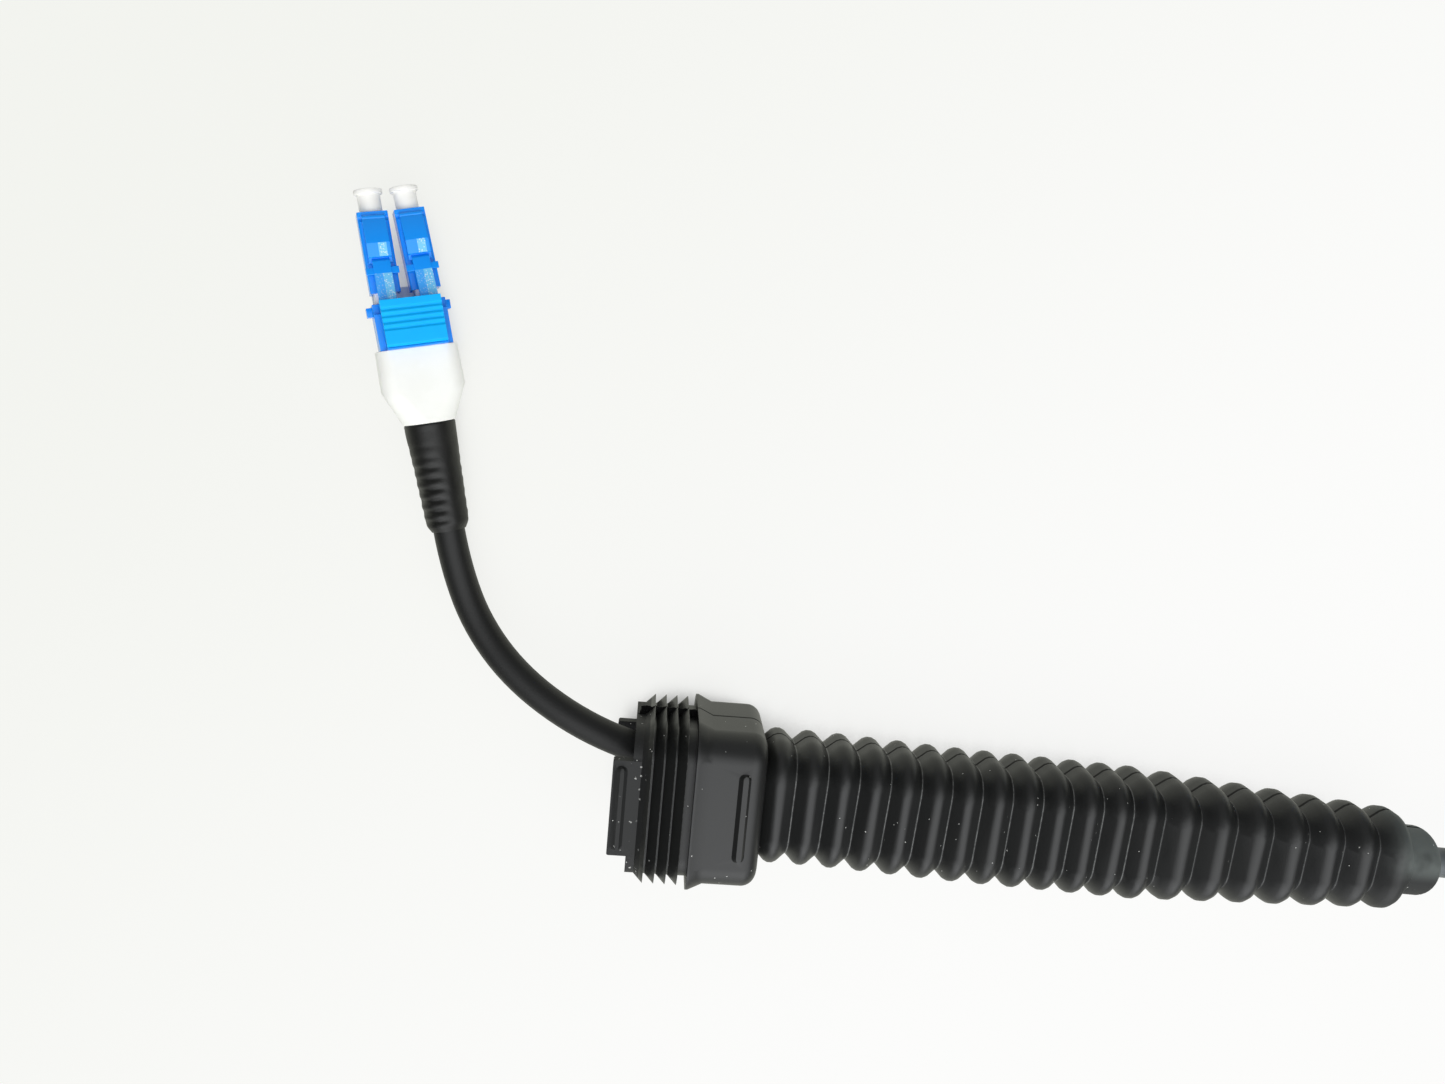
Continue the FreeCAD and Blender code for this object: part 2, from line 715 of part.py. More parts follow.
def duplex_clip(label, place, play):
    body = new_body(label, place)
    half = size.clip_width / 2
    block = rectangle(new_sketch(body, "YZ_Plane"), -half, -size.clip_bottom, half, size.clip_top)
    extrude(body, "Pad", block, size.clip_length)
    step = rectangle(new_sketch(body, "XZ_Plane"), size.clip_length - size.clip_step_length,
                     size.clip_top - size.clip_step_depth, size.clip_length + PAST, size.clip_top + PAST)
    extrude(body, "Pocket", step, size.clip_lug_width, both_ways=True)
    lug_low = size.clip_lug_top - size.clip_lug_height
    lugs = rectangle(new_sketch(body, "YZ_Plane", size.clip_lug_front - size.clip_lug_length),
                     -size.clip_lug_width / 2, lug_low, size.clip_lug_width / 2, size.clip_lug_top)
    extrude(body, "Pad", lugs, size.clip_lug_length)
    hinge_x, hinge_z = trigger_hinge()
    shelf = hinge_z - size.trigger_root_radius - size.clip_relief
    lip = hinge_x + size.clip_lip
    wall = [(ZERO, size.clip_top), (ZERO, hinge_z), (hinge_x, hinge_z), (lip, shelf),
            (lip + size.trigger_root_radius, size.clip_top)]
    extrude(body, "Pad", outline(new_sketch(body, "XZ_Plane"), wall), size.trigger_width, both_ways=True)
    cradle = circle(new_sketch(body, "XZ_Plane"), hinge_x, hinge_z,
                    2 * (size.trigger_root_radius + size.fit_clearance))
    extrude(body, "Pocket", cradle, size.clip_width, both_ways=True)
    hole = size.shank_width / 2 + play
    bores = new_sketch(body, "YZ_Plane")
    for side in (-1, 1):
        middle = size.plug_pitch / 2 * side
        rectangle(bores, middle - hole, -hole, middle + hole, hole)
    extrude(body, "Pocket", bores, size.clip_length, backwards=True)


def thumb_trigger(label, place):
    # Lever that turns about its rear root and presses both latch arms with its front edge.
    body = new_body(label, place)
    hinge_x, hinge_z = trigger_hinge()
    under = hinge_z - size.trigger_root_radius
    top = under + size.trigger_thick
    low = top - size.trigger_groove_depth
    step = size.trigger_groove_pitch / 4
    corners = [(hinge_x, under), (size.trigger_front, under), (size.trigger_front, top)]
    for groove in range(GROOVE_COUNT):
        front = size.trigger_groove_front - size.trigger_groove_pitch * groove
        corners += [(front, top), (front - step, low), (front - 2 * step, low), (front - 3 * step, top)]
    corners.append((hinge_x, top))
    extrude(body, "Pad", outline(new_sketch(body, "XZ_Plane"), corners), size.trigger_width, both_ways=True)
    root = circle(new_sketch(body, "XZ_Plane"), hinge_x, hinge_z, 2 * size.trigger_root_radius)
    extrude(body, "Pad", root, size.trigger_width, both_ways=True)


def shell_sections(drop, end):
    # Sections of the back shell, drawn in by drop, from the clip to its round rear end.
    rear = size.shell_rear_width - 2 * drop
    tall = size.shell_height - 2 * drop
    corner = size.shell_corner - drop / 2
    return [(ZERO, size.shell_front_width - 2 * drop, tall, corner),
            (-size.shell_shoulder, size.shell_width - 2 * drop, tall, corner),
            (end, rear, rear, (rear - size.shell_rear_flat) / 2)]


def back_shell(label, place, half):
    # half is "upper" or "lower" of a hollow shell that is split at the ferrules' axes, or "plain".
    body = new_body(label, place)
    loft(body, "AdditiveLoft", shell_sections(ZERO, -size.shell_length))
    tongue_top = -size.clip_bottom
    tongue_low = -size.shell_height / 2
    if half != "upper":
        side = size.shell_tongue_width / 2
        tongue = new_sketch(body, "YZ_Plane", -size.shell_wall)
        rectangle(tongue, -side, tongue_low, side, tongue_top)
        extrude(body, "Pad", tongue, size.shell_tongue_length + size.shell_wall)
    if half == "plain":
        return
    spigot = circle(new_sketch(body, "YZ_Plane", -size.shell_length - size.shell_spigot_length), 0, 0,
                    size.shell_spigot_diameter)
    extrude(body, "Pad", spigot, size.shell_spigot_length + size.shell_wall)
    loft(body, "SubtractiveLoft", shell_sections(size.shell_wall, size.shell_wall - size.shell_length))
    bore = circle(new_sketch(body, "YZ_Plane", -size.shell_length - size.shell_spigot_length), 0, 0,
                  size.cable_diameter + 2 * size.fit_clearance)
    extrude(body, "Pocket", bore, size.shell_spigot_length + 2 * size.shell_wall, backwards=True)
    side = size.shell_width
    far = -size.shell_length - size.shell_spigot_length - PAST
    away = rectangle(new_sketch(body, "XY_Plane"), far, -side, size.shell_tongue_length + PAST, side)
    extrude(body, "Pocket", away, size.shell_height, backwards=(half == "lower"))


def crimp_end():
    return -size.shell_length - size.shell_spigot_length


def sleeve_end():
    return crimp_end() - size.relief_length - size.sleeve_tip_length


def crimp_ring(label, place):
    inner = size.shell_spigot_diameter / 2
    outer = size.crimp_diameter / 2
    front = -size.shell_length - size.fit_clearance
    turn(new_body(label, place), "Revolution", [
        (crimp_end(), inner), (crimp_end(), outer), (front, outer), (front, inner)])


def strain_relief(label, place):
    # Tapered tube under the sleeve, with side slots that let it bend.
    body = new_body(label, place)
    bore = size.cable_diameter / 2 + size.fit_clearance
    end = crimp_end() - size.relief_length
    turn(body, "Revolution", [(end, bore), (end, size.relief_end_diameter / 2),
                              (crimp_end(), size.crimp_diameter / 2), (crimp_end(), bore)])
    first = crimp_end() - size.relief_slot_first - size.relief_slot_pitch * (SLOT_COUNT - 1)
    slots = new_sketch(body, "XY_Plane")
    for side in (-1, 1):
        rectangle(slots, first - size.relief_slot, size.relief_spine / 2 * side, first,
                  size.crimp_diameter * side)
    cut = extrude(body, "Pocket", slots, size.crimp_diameter, both_ways=True)
    repeat(body, cut, size.relief_slot_pitch, SLOT_COUNT)


def sleeve_radius(along):
    # Outer radius of the sleeve at a place along its tapered part.
    front, end = size.sleeve_diameter / 2, size.sleeve_end_diameter / 2
    back = crimp_end() - size.relief_length
    share = (-size.shell_length - along) / (-size.shell_length - back)
    return front + (end - front) * share


def shrink_sleeve(label, place, plain):
    # Shrink tube over crimp ring and strain relief; its skin sinks into the slots on both sides.
    body = new_body(label, place)
    front = -size.shell_length - size.fit_clearance
    back = crimp_end() - size.relief_length
    bore = size.cable_diameter / 2 + size.fit_clearance
    skin = [(sleeve_end(), size.sleeve_tip_diameter / 2), (back, size.sleeve_end_diameter / 2),
            (front, size.sleeve_diameter / 2)]
    if plain:
        inside = [(front, ZERO), (sleeve_end(), ZERO)]
    else:
        inside = [(front, size.crimp_diameter / 2), (crimp_end(), size.crimp_diameter / 2),
                  (back, size.relief_end_diameter / 2), (back, bore), (sleeve_end(), bore)]
    turn(body, "Revolution", skin + inside)
    dips = new_sketch(body, "XY_Plane")
    for slot in range(SLOT_COUNT):
        along = crimp_end() - size.relief_slot_first - size.relief_slot / 2 - size.relief_slot_pitch * slot
        circle(dips, along, sleeve_radius(along) - size.dimple_depth + size.dimple_radius,
               2 * size.dimple_radius)
    dimples = body.newObject("PartDesign::Groove", "dimples")
    dimples.Profile = dips
    dimples.ReferenceAxis = (origin_item(body, "X_Axis"), [""])
    dimples.Angle = DIMPLE_SWEEP
    dimples.Midplane = True
    mirror(body, [dimples], "XZ_Plane")


def fibre(label, place, spot, side):
    # Buffered fibre from the ferrule's seat back through the shell to the end of the cable's jacket.
    # spot is the place of its plug body, which it follows as far as the end of the shank.
    local = place.inverse() * spot
    front = local.multVec(FreeCAD.Vector((web_back() - size.ferrule_seat).number, 0, 0))
    start = local.multVec(FreeCAD.Vector(-size.shank_inset.number, 0, 0))
    back = (size.jacket_inset - size.shell_length).number
    end = FreeCAD.Vector(back, side * size.fibre_spacing.number / 2, 0)
    reach = (start.x - back) / 2
    ahead = (start - front).normalize()
    sway = Part.BezierCurve()
    sway.setPoles([start, start + ahead * reach, end + FreeCAD.Vector(reach, 0, 0), end])
    path = Part.Wire([Part.LineSegment(front, start).toShape(), sway.toShape()])
    add_tube(label, path, size.fibre_diameter.number, place)


def add_feature(label, shape, place=FreeCAD.Placement()):
    item = doc.addObject("Part::Feature", label)
    item.Label = label
    item.Shape = shape
    item.Placement = place
    pieces.append(item)


def add_tube(label, path, diameter, place=FreeCAD.Placement()):
    # Round tube along a path; its volume is compared with section times length.
    edge = path.OrderedEdges[0]
    start = edge.valueAt(edge.FirstParameter)
    ring = Part.Circle(start, edge.tangentAt(edge.FirstParameter), diameter / 2)
    solid = path.makePipeShell([Part.Wire(ring.toShape())], True, False)
    share = solid.Volume / (math.pi * diameter ** 2 / 4 * path.Length)
    if abs(share - 1) > 0.01:
        raise RuntimeError("%s: tube volume is %.3f of section times length" % (label, share))
    add_feature(label, solid, place)


def plug_place(x, y, height, heading, roll):
    turned = FreeCAD.Rotation(FreeCAD.Vector(0, 0, 1), heading)
    leaned = FreeCAD.Rotation(FreeCAD.Vector(1, 0, 0), roll)
    return FreeCAD.Placement(FreeCAD.Vector(x, y, height), turned * leaned)


def plug_spot(place, side, toe):
    # Place of one plug body: beside the plug's axis and turned by toe about the middle of the clip.
    pivot = FreeCAD.Vector(size.clip_length.number / 2, side * size.plug_pitch.number / 2, 0)
    turned = FreeCAD.Placement(pivot, FreeCAD.Rotation(FreeCAD.Vector(0, 0, 1), toe))
    back = FreeCAD.Placement(FreeCAD.Vector(-size.clip_length.number / 2, 0, 0), FreeCAD.Rotation())
    return place * turned * back


def duplex_plug(prefix, place, plain):
    for number, side in ((1, 1), (2, -1)):
        spot = plug_spot(place, side, 0.0 if plain else PLUG_TOE[number])
        name = prefix + "%s_" + str(number)
        plug_housing(name % "plug_housing", spot, plain)
        latch_arm(name % "latch_arm", spot)
        ferrule(name % "ferrule", spot)
        dust_cap(name % "dust_cap", spot)
        if not plain:
            rear_body(name % "rear_body", spot)
            ferrule_holder(name % "ferrule_holder", spot)
            ferrule_spring(name % "ferrule_spring", spot)
            fibre(name % "fibre", place, spot, side)
    duplex_clip(prefix + "duplex_clip", place, size.fit_clearance if plain else size.clip_play)
    thumb_trigger(prefix + "thumb_trigger", place)
    turned = FreeCAD.Rotation(FreeCAD.Vector(1, 0, 0), SLOT_TURN)
    bendy = place * FreeCAD.Placement(FreeCAD.Vector(), turned)
    shrink_sleeve(prefix + "shrink_sleeve", bendy, plain)
    if plain:
        back_shell(prefix + "back_shell", place, "plain")
        return
    back_shell(prefix + "back_shell_upper", place, "upper")
    back_shell(prefix + "back_shell_lower", place, "lower")
    crimp_ring(prefix + "crimp_ring", place)
    strain_relief(prefix + "strain_relief", bendy)


# Cable

def cord_path(label, points):
    # Straight runs joined by tangent arcs, each as large as its two runs allow.
    spots = [FreeCAD.Vector(*point) for point in points]
    edges = []
    start = spots[0]
    radii = []
    for before, corner, after in zip(spots, spots[1:], spots[2:]):
        back, ahead = before - corner, after - corner
        reach = 0.45 * min(back.Length, ahead.Length)
        half_turn = (math.pi - back.getAngle(ahead)) / 2
        radius = reach / math.tan(half_turn)
        radii.append(radius)
        back.normalize()
        ahead.normalize()
        inward = back + ahead
        inward.normalize()
        enter, leave = corner + back * reach, corner + ahead * reach
        middle = corner + inward * (radius / math.cos(half_turn) - radius)
        edges.append(Part.LineSegment(start, enter).toShape())
        edges.append(Part.Arc(enter, middle, leave).toShape())
        start = leave
    edges.append(Part.LineSegment(start, spots[-1]).toShape())
    path = Part.Wire(edges)
    print("%s: %.1f mm long, arc radii %s" % (label, path.Length, [round(radius, 1) for radius in radii]))
    return path


def straight_cable(label, start, end):
    rod = doc.addObject("Part::Cylinder", label)
    rod.Label = label
    bind(rod, "Radius", size.cable_diameter / 2)
    rod.Height = (end - start).Length
    rod.Placement = FreeCAD.Placement(start, FreeCAD.Rotation(FreeCAD.Vector(0, 0, 1), end - start))
    pieces.append(rod)


def coil_bottom():
    return size.tie_thick + size.tie_clearance


def outer_turn():
    return size.coil_inner_turn + size.cable_diameter * (COIL_ROWS - 1)


def coil_y():
    # The cable runs straight from the boot on to the coil's outer turn.
    return size.boot_y + outer_turn()


def top_row():
    return coil_bottom() + size.cable_diameter * COIL_ROWS - size.cable_diameter / 2


def bottom_row():
    return coil_bottom() + size.cable_diameter / 2


def cable_coil():
    # Outer shape of the wound turns, with the straight stubs on which the cable enters and leaves.
    place = FreeCAD.Placement(FreeCAD.Vector(size.coil_x.number, coil_y().number, 0), FreeCAD.Rotation())
    body = new_body("cable_coil", place)
    thick = size.cable_diameter
    low = coil_bottom()
    high = low + thick * COIL_ROWS
    inner = size.coil_inner_turn - thick / 2
    outer = outer_turn() + thick / 2
    cut = thick / 4
    ring = outline(new_sketch(body, "XZ_Plane"), [
        (inner, low + cut), (inner + cut, low), (outer - cut, low), (outer, low + cut), (outer, high - cut),
        (outer - cut, high), (inner + cut, high), (inner, high - cut)])
    wound = body.newObject("PartDesign::Revolution", "revolution")
    wound.Profile = ring
    wound.ReferenceAxis = (origin_item(body, "Z_Axis"), [""])
    wound.Angle = 360.0
    for across, up in ((-outer_turn(), top_row()), (outer_turn(), bottom_row())):
        stub = circle(new_sketch(body, "YZ_Plane", -size.coil_stub), across, up, thick)
        extrude(body, "Pad", stub, size.coil_stub)


def coil_tie(label, side):
    # Band round the wound turns, closed by a head on its outer side.
    middle = (size.coil_inner_turn + outer_turn()) / 2
    inside = size.cable_diameter * COIL_ROWS + 2 * size.tie_clearance
    outside = inside + 2 * size.tie_thick
    height = outside.number / 2
    spot = FreeCAD.Vector(size.coil_x.number + side * middle.number, coil_y().number, height)
    body = new_body(label, FreeCAD.Placement(spot, FreeCAD.Rotation(FreeCAD.Vector(0, 0, 1), 90 - 90 * side)))
    band = new_sketch(body, "XZ_Plane")
    corner = size.cable_diameter / 4
    rounded(band, outside, outside, corner + size.tie_thick)
    rounded(band, inside, inside, corner)
    extrude(body, "Pad", band, size.tie_width, both_ways=True)
    head_x = outside / 2 - size.tie_thick / 2
    head = rectangle(new_sketch(body, "XZ_Plane"), head_x, -size.tie_head_length / 2,
                     outside / 2 + size.tie_head_height, size.tie_head_length / 2)
    extrude(body, "Pad", head, size.tie_head_width, both_ways=True)


def resting_height():
    # Height of the near plug's axis when it leans on the right edge of its lower shell.
    lean = math.radians(PLUG_ROLL)
    return size.shell_tongue_width.number / 2 * math.sin(lean) + size.shell_height.number / 2 * math.cos(lean)


def on_plug(place, along):
    return place.multVec(FreeCAD.Vector(along.number, 0, 0))


def on_boot(along):
    # Point on the boot's axis.
    return FreeCAD.Vector((size.boot_x + along).number, size.boot_y.number, (size.flange_height / 2).number)


def beside_coil(along, side, height):
    # Point on the line on which the cable enters (side -1) or leaves (side 1) the coil.
    across = coil_y() + side * outer_turn()
    return FreeCAD.Vector((size.coil_x - along).number, across.number, height.number)


def boot_end():
    return tail_end() + size.nozzle_length


def cable(near, far):
    diameter = size.cable_diameter.number
    straight_cable("cable_entry", on_plug(near, size.jacket_inset - size.shell_length),
                   on_plug(near, sleeve_end()))
    lead = [on_plug(near, sleeve_end()), on_plug(near, sleeve_end() - size.lead_straight)]
    lead += [FreeCAD.Vector(*bend) for bend in LEAD_BENDS]
    lead += [on_boot(size.lead_last_bend), on_boot(size.core_start)]
    add_tube("cable_lead", cord_path("cable_lead", lead), diameter)

    core_end = boot_end() - size.core_inset
    straight_cable("cable_core", on_boot(size.core_start), on_boot(core_end))
    tail = [on_boot(core_end), on_boot(size.tail_first_bend), beside_coil(size.tail_last_bend, -1, top_row()),
            beside_coil(size.coil_stub, -1, top_row())]
    add_tube("cable_tail", cord_path("cable_tail", tail), diameter)
    cable_coil()

    far_end = on_plug(far, sleeve_end())
    end = [beside_coil(size.coil_stub, 1, bottom_row()),
           beside_coil(size.coil_stub + size.end_first_bend, 1, bottom_row()),
           on_plug(far, sleeve_end() - size.end_last_bend), far_end]
    add_tube("cable_end", cord_path("cable_end", end), diameter)
    coil_tie("coil_tie_1", 1)
    coil_tie("coil_tie_2", -1)


bellows_boot()
near_place = plug_place(size.plug_x.number, size.plug_y.number, resting_height(), PLUG_HEADING, PLUG_ROLL)
far_place = plug_place(size.far_plug_x.number, (coil_y() + outer_turn()).number, size.shell_height.number / 2,
                       FAR_PLUG_HEADING, 0.0)
duplex_plug("", near_place, False)
duplex_plug("far_", far_place, True)
cable(near_place, far_place)
doc.recompute()

for item in doc.Objects:
    if "Invalid" in item.State or "Error" in item.State:
        raise RuntimeError("%s (%s) did not recompute: %s" % (item.Name, item.Label, item.State))
for piece in pieces:
    if piece.Shape.isNull() or not piece.Shape.isValid() or len(piece.Shape.Solids) != 1:
        raise RuntimeError("%s is not one valid solid" % piece.Label)

os.makedirs("parts", exist_ok=True)
for piece in pieces:
    piece.Shape.exportStep("parts/%s.step" % piece.Label)
print("%d sub-parts written" % len(pieces))
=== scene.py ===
import json
import math
import bpy
from mathutils import Matrix, Vector


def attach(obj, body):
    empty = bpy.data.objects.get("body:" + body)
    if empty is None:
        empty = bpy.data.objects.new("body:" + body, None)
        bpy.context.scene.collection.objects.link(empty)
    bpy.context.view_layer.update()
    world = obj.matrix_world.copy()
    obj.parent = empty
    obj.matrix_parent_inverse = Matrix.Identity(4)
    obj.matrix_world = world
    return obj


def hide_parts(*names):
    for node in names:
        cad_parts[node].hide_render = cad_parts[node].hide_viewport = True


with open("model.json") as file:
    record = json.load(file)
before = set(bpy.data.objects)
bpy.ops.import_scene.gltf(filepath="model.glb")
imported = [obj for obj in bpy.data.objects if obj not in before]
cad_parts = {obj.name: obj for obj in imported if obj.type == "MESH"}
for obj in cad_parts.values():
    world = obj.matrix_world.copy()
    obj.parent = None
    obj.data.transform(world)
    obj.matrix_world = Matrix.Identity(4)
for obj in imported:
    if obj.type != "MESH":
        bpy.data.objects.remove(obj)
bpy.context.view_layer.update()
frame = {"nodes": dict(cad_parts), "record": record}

mm = 0.001
record = frame["record"]
bootAxis = (-37.54, 11.7)  # mm, where the boot's straight middle line lies: sideways and up


def toMetres(point):
    return Vector(point) * mm


# camera, set where the photograph was taken from
photoCamera = {
    "place": (-44.142, 30.95, 179.37),  # mm in the shared frame
    "right": (0.9907, 0.1261, 0.0507),
    "up": (-0.1158, 0.9785, -0.1707),
    "lens": 27.156,
    "sensor": 36.0,
    "clipStart": 5.0,
}


def addCamera(look):
    camera = bpy.data.objects.new("photoCamera", bpy.data.cameras.new("photoCamera"))
    bpy.context.scene.collection.objects.link(camera)
    right = Vector(look["right"]).normalized()
    back = right.cross(Vector(look["up"])).normalized()
    up = back.cross(right)
    turn = Matrix((right, up, back)).transposed().to_4x4()
    camera.matrix_world = Matrix.Translation(toMetres(look["place"])) @ turn
    camera.data.lens = look["lens"]
    camera.data.sensor_width = look["sensor"]
    camera.data.sensor_fit = "HORIZONTAL"
    camera.data.clip_start = look["clipStart"] * mm
    bpy.context.scene.camera = camera


addCamera(photoCamera)
print("camera set")


# small helpers for modelling and for materials
def deselectAll():
    if bpy.context.object and bpy.context.object.mode != "OBJECT":
        bpy.ops.object.mode_set(mode="OBJECT")
    bpy.ops.object.select_all(action="DESELECT")


def makeActive(piece):
    deselectAll()
    piece.select_set(True)
    bpy.context.view_layer.objects.active = piece


def setMaterial(piece, material):
    piece.data.materials.clear()
    piece.data.materials.append(material)


def applyModifier(piece, kind, **settings):
    modifier = piece.modifiers.new(kind.lower(), kind)
    for name, value in settings.items():
        setattr(modifier, name, value)
    makeActive(piece)
    bpy.ops.object.modifier_apply(modifier=modifier.name)


def roundEdges(piece, width, sharp):
    # edges that turn by more than sharp, in degrees, get a small round
    applyModifier(piece, "BEVEL", width=width * mm, segments=2, limit_method="ANGLE",
                  angle_limit=math.radians(sharp), use_clamp_overlap=True)


def smoothFaces(piece, sharp):
    makeActive(piece)
    bpy.ops.object.shade_smooth_by_angle(angle=math.radians(sharp))


def smoothShare(share):
    share = min(1.0, max(0.0, share))
    return share * share * (3 - 2 * share)


def linear(colour):
    # sRGB numbers from 0 to 255, as a picture shows them, to Blender's linear colour
    share = [c / 255 for c in colour]
    flat = [s / 12.92 if s <= 0.04045 else ((s + 0.055) / 1.055) ** 2.4 for s in share]
    return (*flat, 1.0)


class NodeDesk:
    # a node tree with short calls for adding and joining nodes
    def __init__(self, tree):
        self.tree = tree

    def add(self, kind, inputs=None, **settings):
        node = self.tree.nodes.new(kind)
        for name, value in settings.items():
            setattr(node, name, value)
        for name, value in (inputs or {}).items():
            self.feed(node, name, value)
        return node

    def feed(self, node, name, value):
        socket = node.inputs[name]
        if isinstance(value, bpy.types.NodeSocket):
            self.tree.links.new(value, socket)
        else:
            socket.default_value = value

    def maths(self, operation, first, second=0.0):
        return self.add("ShaderNodeMath", {0: first, 1: second}, operation=operation).outputs[0]

    def ramp(self, value, low, high):
        # 0 below low, 1 above high, smooth in between; high may be the smaller one
        flip = high < low
        ends = {"From Min": min(low, high), "From Max": max(low, high)}
        results = {"To Min": float(flip), "To Max": float(not flip)}
        node = self.add("ShaderNodeMapRange", {"Value": value, **ends, **results},
                        interpolation_type="SMOOTHSTEP")
        return node.outputs["Result"]

    def between(self, share, low, high=1.0):
        # a share from 0 to 1 becomes a value from low to high
        node = self.add("ShaderNodeMapRange", {"Value": share, "To Min": low, "To Max": high})
        return node.outputs["Result"]

    def mixColour(self, share, first, second):
        node = self.add("ShaderNodeMix", data_type="RGBA")
        self.feed(node, 0, share)
        self.feed(node, 6, first)
        self.feed(node, 7, second)
        return node.outputs[2]

    def objectPlace(self):
        return self.add("ShaderNodeTexCoord").outputs["Object"]

    def noise(self, size):
        # soft noise with spots of about this size, in metres
        return self.add("ShaderNodeTexNoise", {"Vector": self.objectPlace(), "Scale": 1 / size}).outputs[0]


def newGroup(name, inputs, outputs):
    tree = bpy.data.node_groups.new(name, "ShaderNodeTree")
    for label, value in inputs.items():
        socket = tree.interface.new_socket(label, in_out="INPUT", socket_type="NodeSocketFloat")
        socket.default_value = value
    for label in outputs:
        tree.interface.new_socket(label, in_out="OUTPUT", socket_type="NodeSocketFloat")
    desk = NodeDesk(tree)
    return desk, desk.add("NodeGroupInput"), desk.add("NodeGroupOutput")


def buildSpeckGroup():
    # scattered dust specks with ragged outlines: a mask that is 1 on a speck; spacing is in metres
    warp = 2.4  # how far noise pushes an outline, in sizes of a speck
    desk, given, made = newGroup("dustSpecks", {"Spacing": 0.003, "Size": 0.12, "Share": 0.3, "Ragged": 9.0},
                                 ["Mask"])
    scale = desk.maths("DIVIDE", 1.0, given.outputs["Spacing"])
    place = desk.objectPlace()
    ragged = desk.add("ShaderNodeTexNoise", {"Vector": place, "Detail": 2.0,
                                             "Scale": desk.maths("MULTIPLY", scale, given.outputs["Ragged"])})
    pushed = ragged.outputs["Color"]
    for key in ("Size", "Spacing"):
        push = desk.add("ShaderNodeVectorMath", {0: pushed, 3: given.outputs[key]}, operation="SCALE")
        pushed = push.outputs[0]
    warped = desk.add("ShaderNodeVectorMath", {0: pushed, 1: (warp, warp, warp), 2: place},
                      operation="MULTIPLY_ADD")
    cells = desk.add("ShaderNodeTexVoronoi", {"Vector": warped.outputs[0], "Scale": scale, "Randomness": 1.0})
    near = desk.maths("LESS_THAN", cells.outputs["Distance"], given.outputs["Size"])
    split = desk.add("ShaderNodeSeparateColor", {"Color": cells.outputs["Color"]})
    chosen = desk.maths("LESS_THAN", split.outputs[0], given.outputs["Share"])
    desk.feed(made, "Mask", desk.maths("MULTIPLY", near, chosen))
    return desk.tree


def buildGrainGroup():
    # fine moulded grain and slow unevenness; Height feeds a bump, Tone shifts colour and gloss
    toneEnds = (0.3, 0.7)  # values of the slow noise where the tone is 0 and 1
    desk, given, made = newGroup("mouldGrain", {"Grain": 0.0002, "Patch": 0.006}, ["Height", "Tone"])
    place = desk.objectPlace()
    fine = desk.add("ShaderNodeTexNoise", {"Vector": place, "Detail": 4.0, "Roughness": 0.6,
                                           "Scale": desk.maths("DIVIDE", 1.0, given.outputs["Grain"])})
    slow = desk.add("ShaderNodeTexNoise", {"Vector": place, "Detail": 3.0, "Roughness": 0.55,
                                           "Scale": desk.maths("DIVIDE", 1.0, given.outputs["Patch"])})
    desk.feed(made, "Height", fine.outputs[0])
    desk.feed(made, "Tone", desk.ramp(slow.outputs[0], *toneEnds))
    return desk.tree


groups = {"specks": buildSpeckGroup(), "grain": buildGrainGroup()}


def newMaterial(name, roughness, specular=0.5):
    material = bpy.data.materials.new(name)
    material.use_nodes = True
    desk = NodeDesk(material.node_tree)
    shader = material.node_tree.nodes["Principled BSDF"]
    shader.inputs["Roughness"].default_value = roughness
    shader.inputs["Specular IOR Level"].default_value = specular
    return material, desk, shader


def placeGroup(desk, key, **values):
    node = desk.add("ShaderNodeGroup", node_tree=groups[key])
    for name, value in values.items():
        desk.feed(node, name.capitalize(), value)
    return node


def bumpFrom(desk, shader, height, depth):
    bump = desk.add("ShaderNodeBump", {"Height": height, "Distance": depth, "Strength": 1.0})
    desk.feed(shader, "Normal", bump.outputs[0])


# moulded plastics: one recipe, each colour with its own values; grain and depth are in metres
plastics = {
    "plugBlue": {"colour": (10, 150, 254), "deep": (9, 145, 252), "roughness": 0.2, "gloss": 0.3,
                 "inside": 0.0, "grain": 0.00012, "depth": 0.000006},
    "triggerBlue": {"colour": (6, 183, 254), "deep": (6, 179, 253), "roughness": 0.32, "gloss": 0.12,
                    "inside": 0.0, "grain": 0.00012, "depth": 0.000006},
    "capWhite": {"colour": (252, 250, 244), "deep": (249, 247, 240), "roughness": 0.45, "gloss": 0.3,
                 "inside": 0.15, "grain": 0.0002, "depth": 0.00001},
    "shellWhite": {"colour": (251, 251, 245), "deep": (248, 248, 241), "roughness": 0.4, "gloss": 0.35,
                   "inside": 0.1, "grain": 0.0002, "depth": 0.00001},
    "ceramic": {"colour": (238, 236, 226), "deep": (230, 227, 215), "roughness": 0.15, "gloss": 0.6,
                "inside": 0.0, "grain": 0.0003, "depth": 0.000002},
    "sleeveBlack": {"colour": (20, 20, 18), "deep": (17, 17, 15), "roughness": 0.46, "gloss": 0.42,
                    "inside": 0.0, "grain": 0.00035, "depth": 0.00003},
    "tieBlack": {"colour": (30, 30, 30), "deep": (24, 24, 24), "roughness": 0.4, "gloss": 0.5,
                 "inside": 0.0, "grain": 0.0003, "depth": 0.00001},
    "bufferYellow": {"colour": (214, 196, 92), "deep": (196, 176, 74), "roughness": 0.4, "gloss": 0.5,
                     "inside": 0.0, "grain": 0.0002, "depth": 0.00001},
}
moulding = {
    "patch": 0.004,  # metres, size of the slow unevenness
    "insideReach": 0.0008,
    "insideRadius": (1.0, 1.0, 0.9),
    "roughSpread": (-0.03, 0.04),
}


def roughFrom(desk, look, spread, grain):
    low, high = spread
    return desk.between(grain.outputs["Tone"], look["roughness"] + low, look["roughness"] + high)


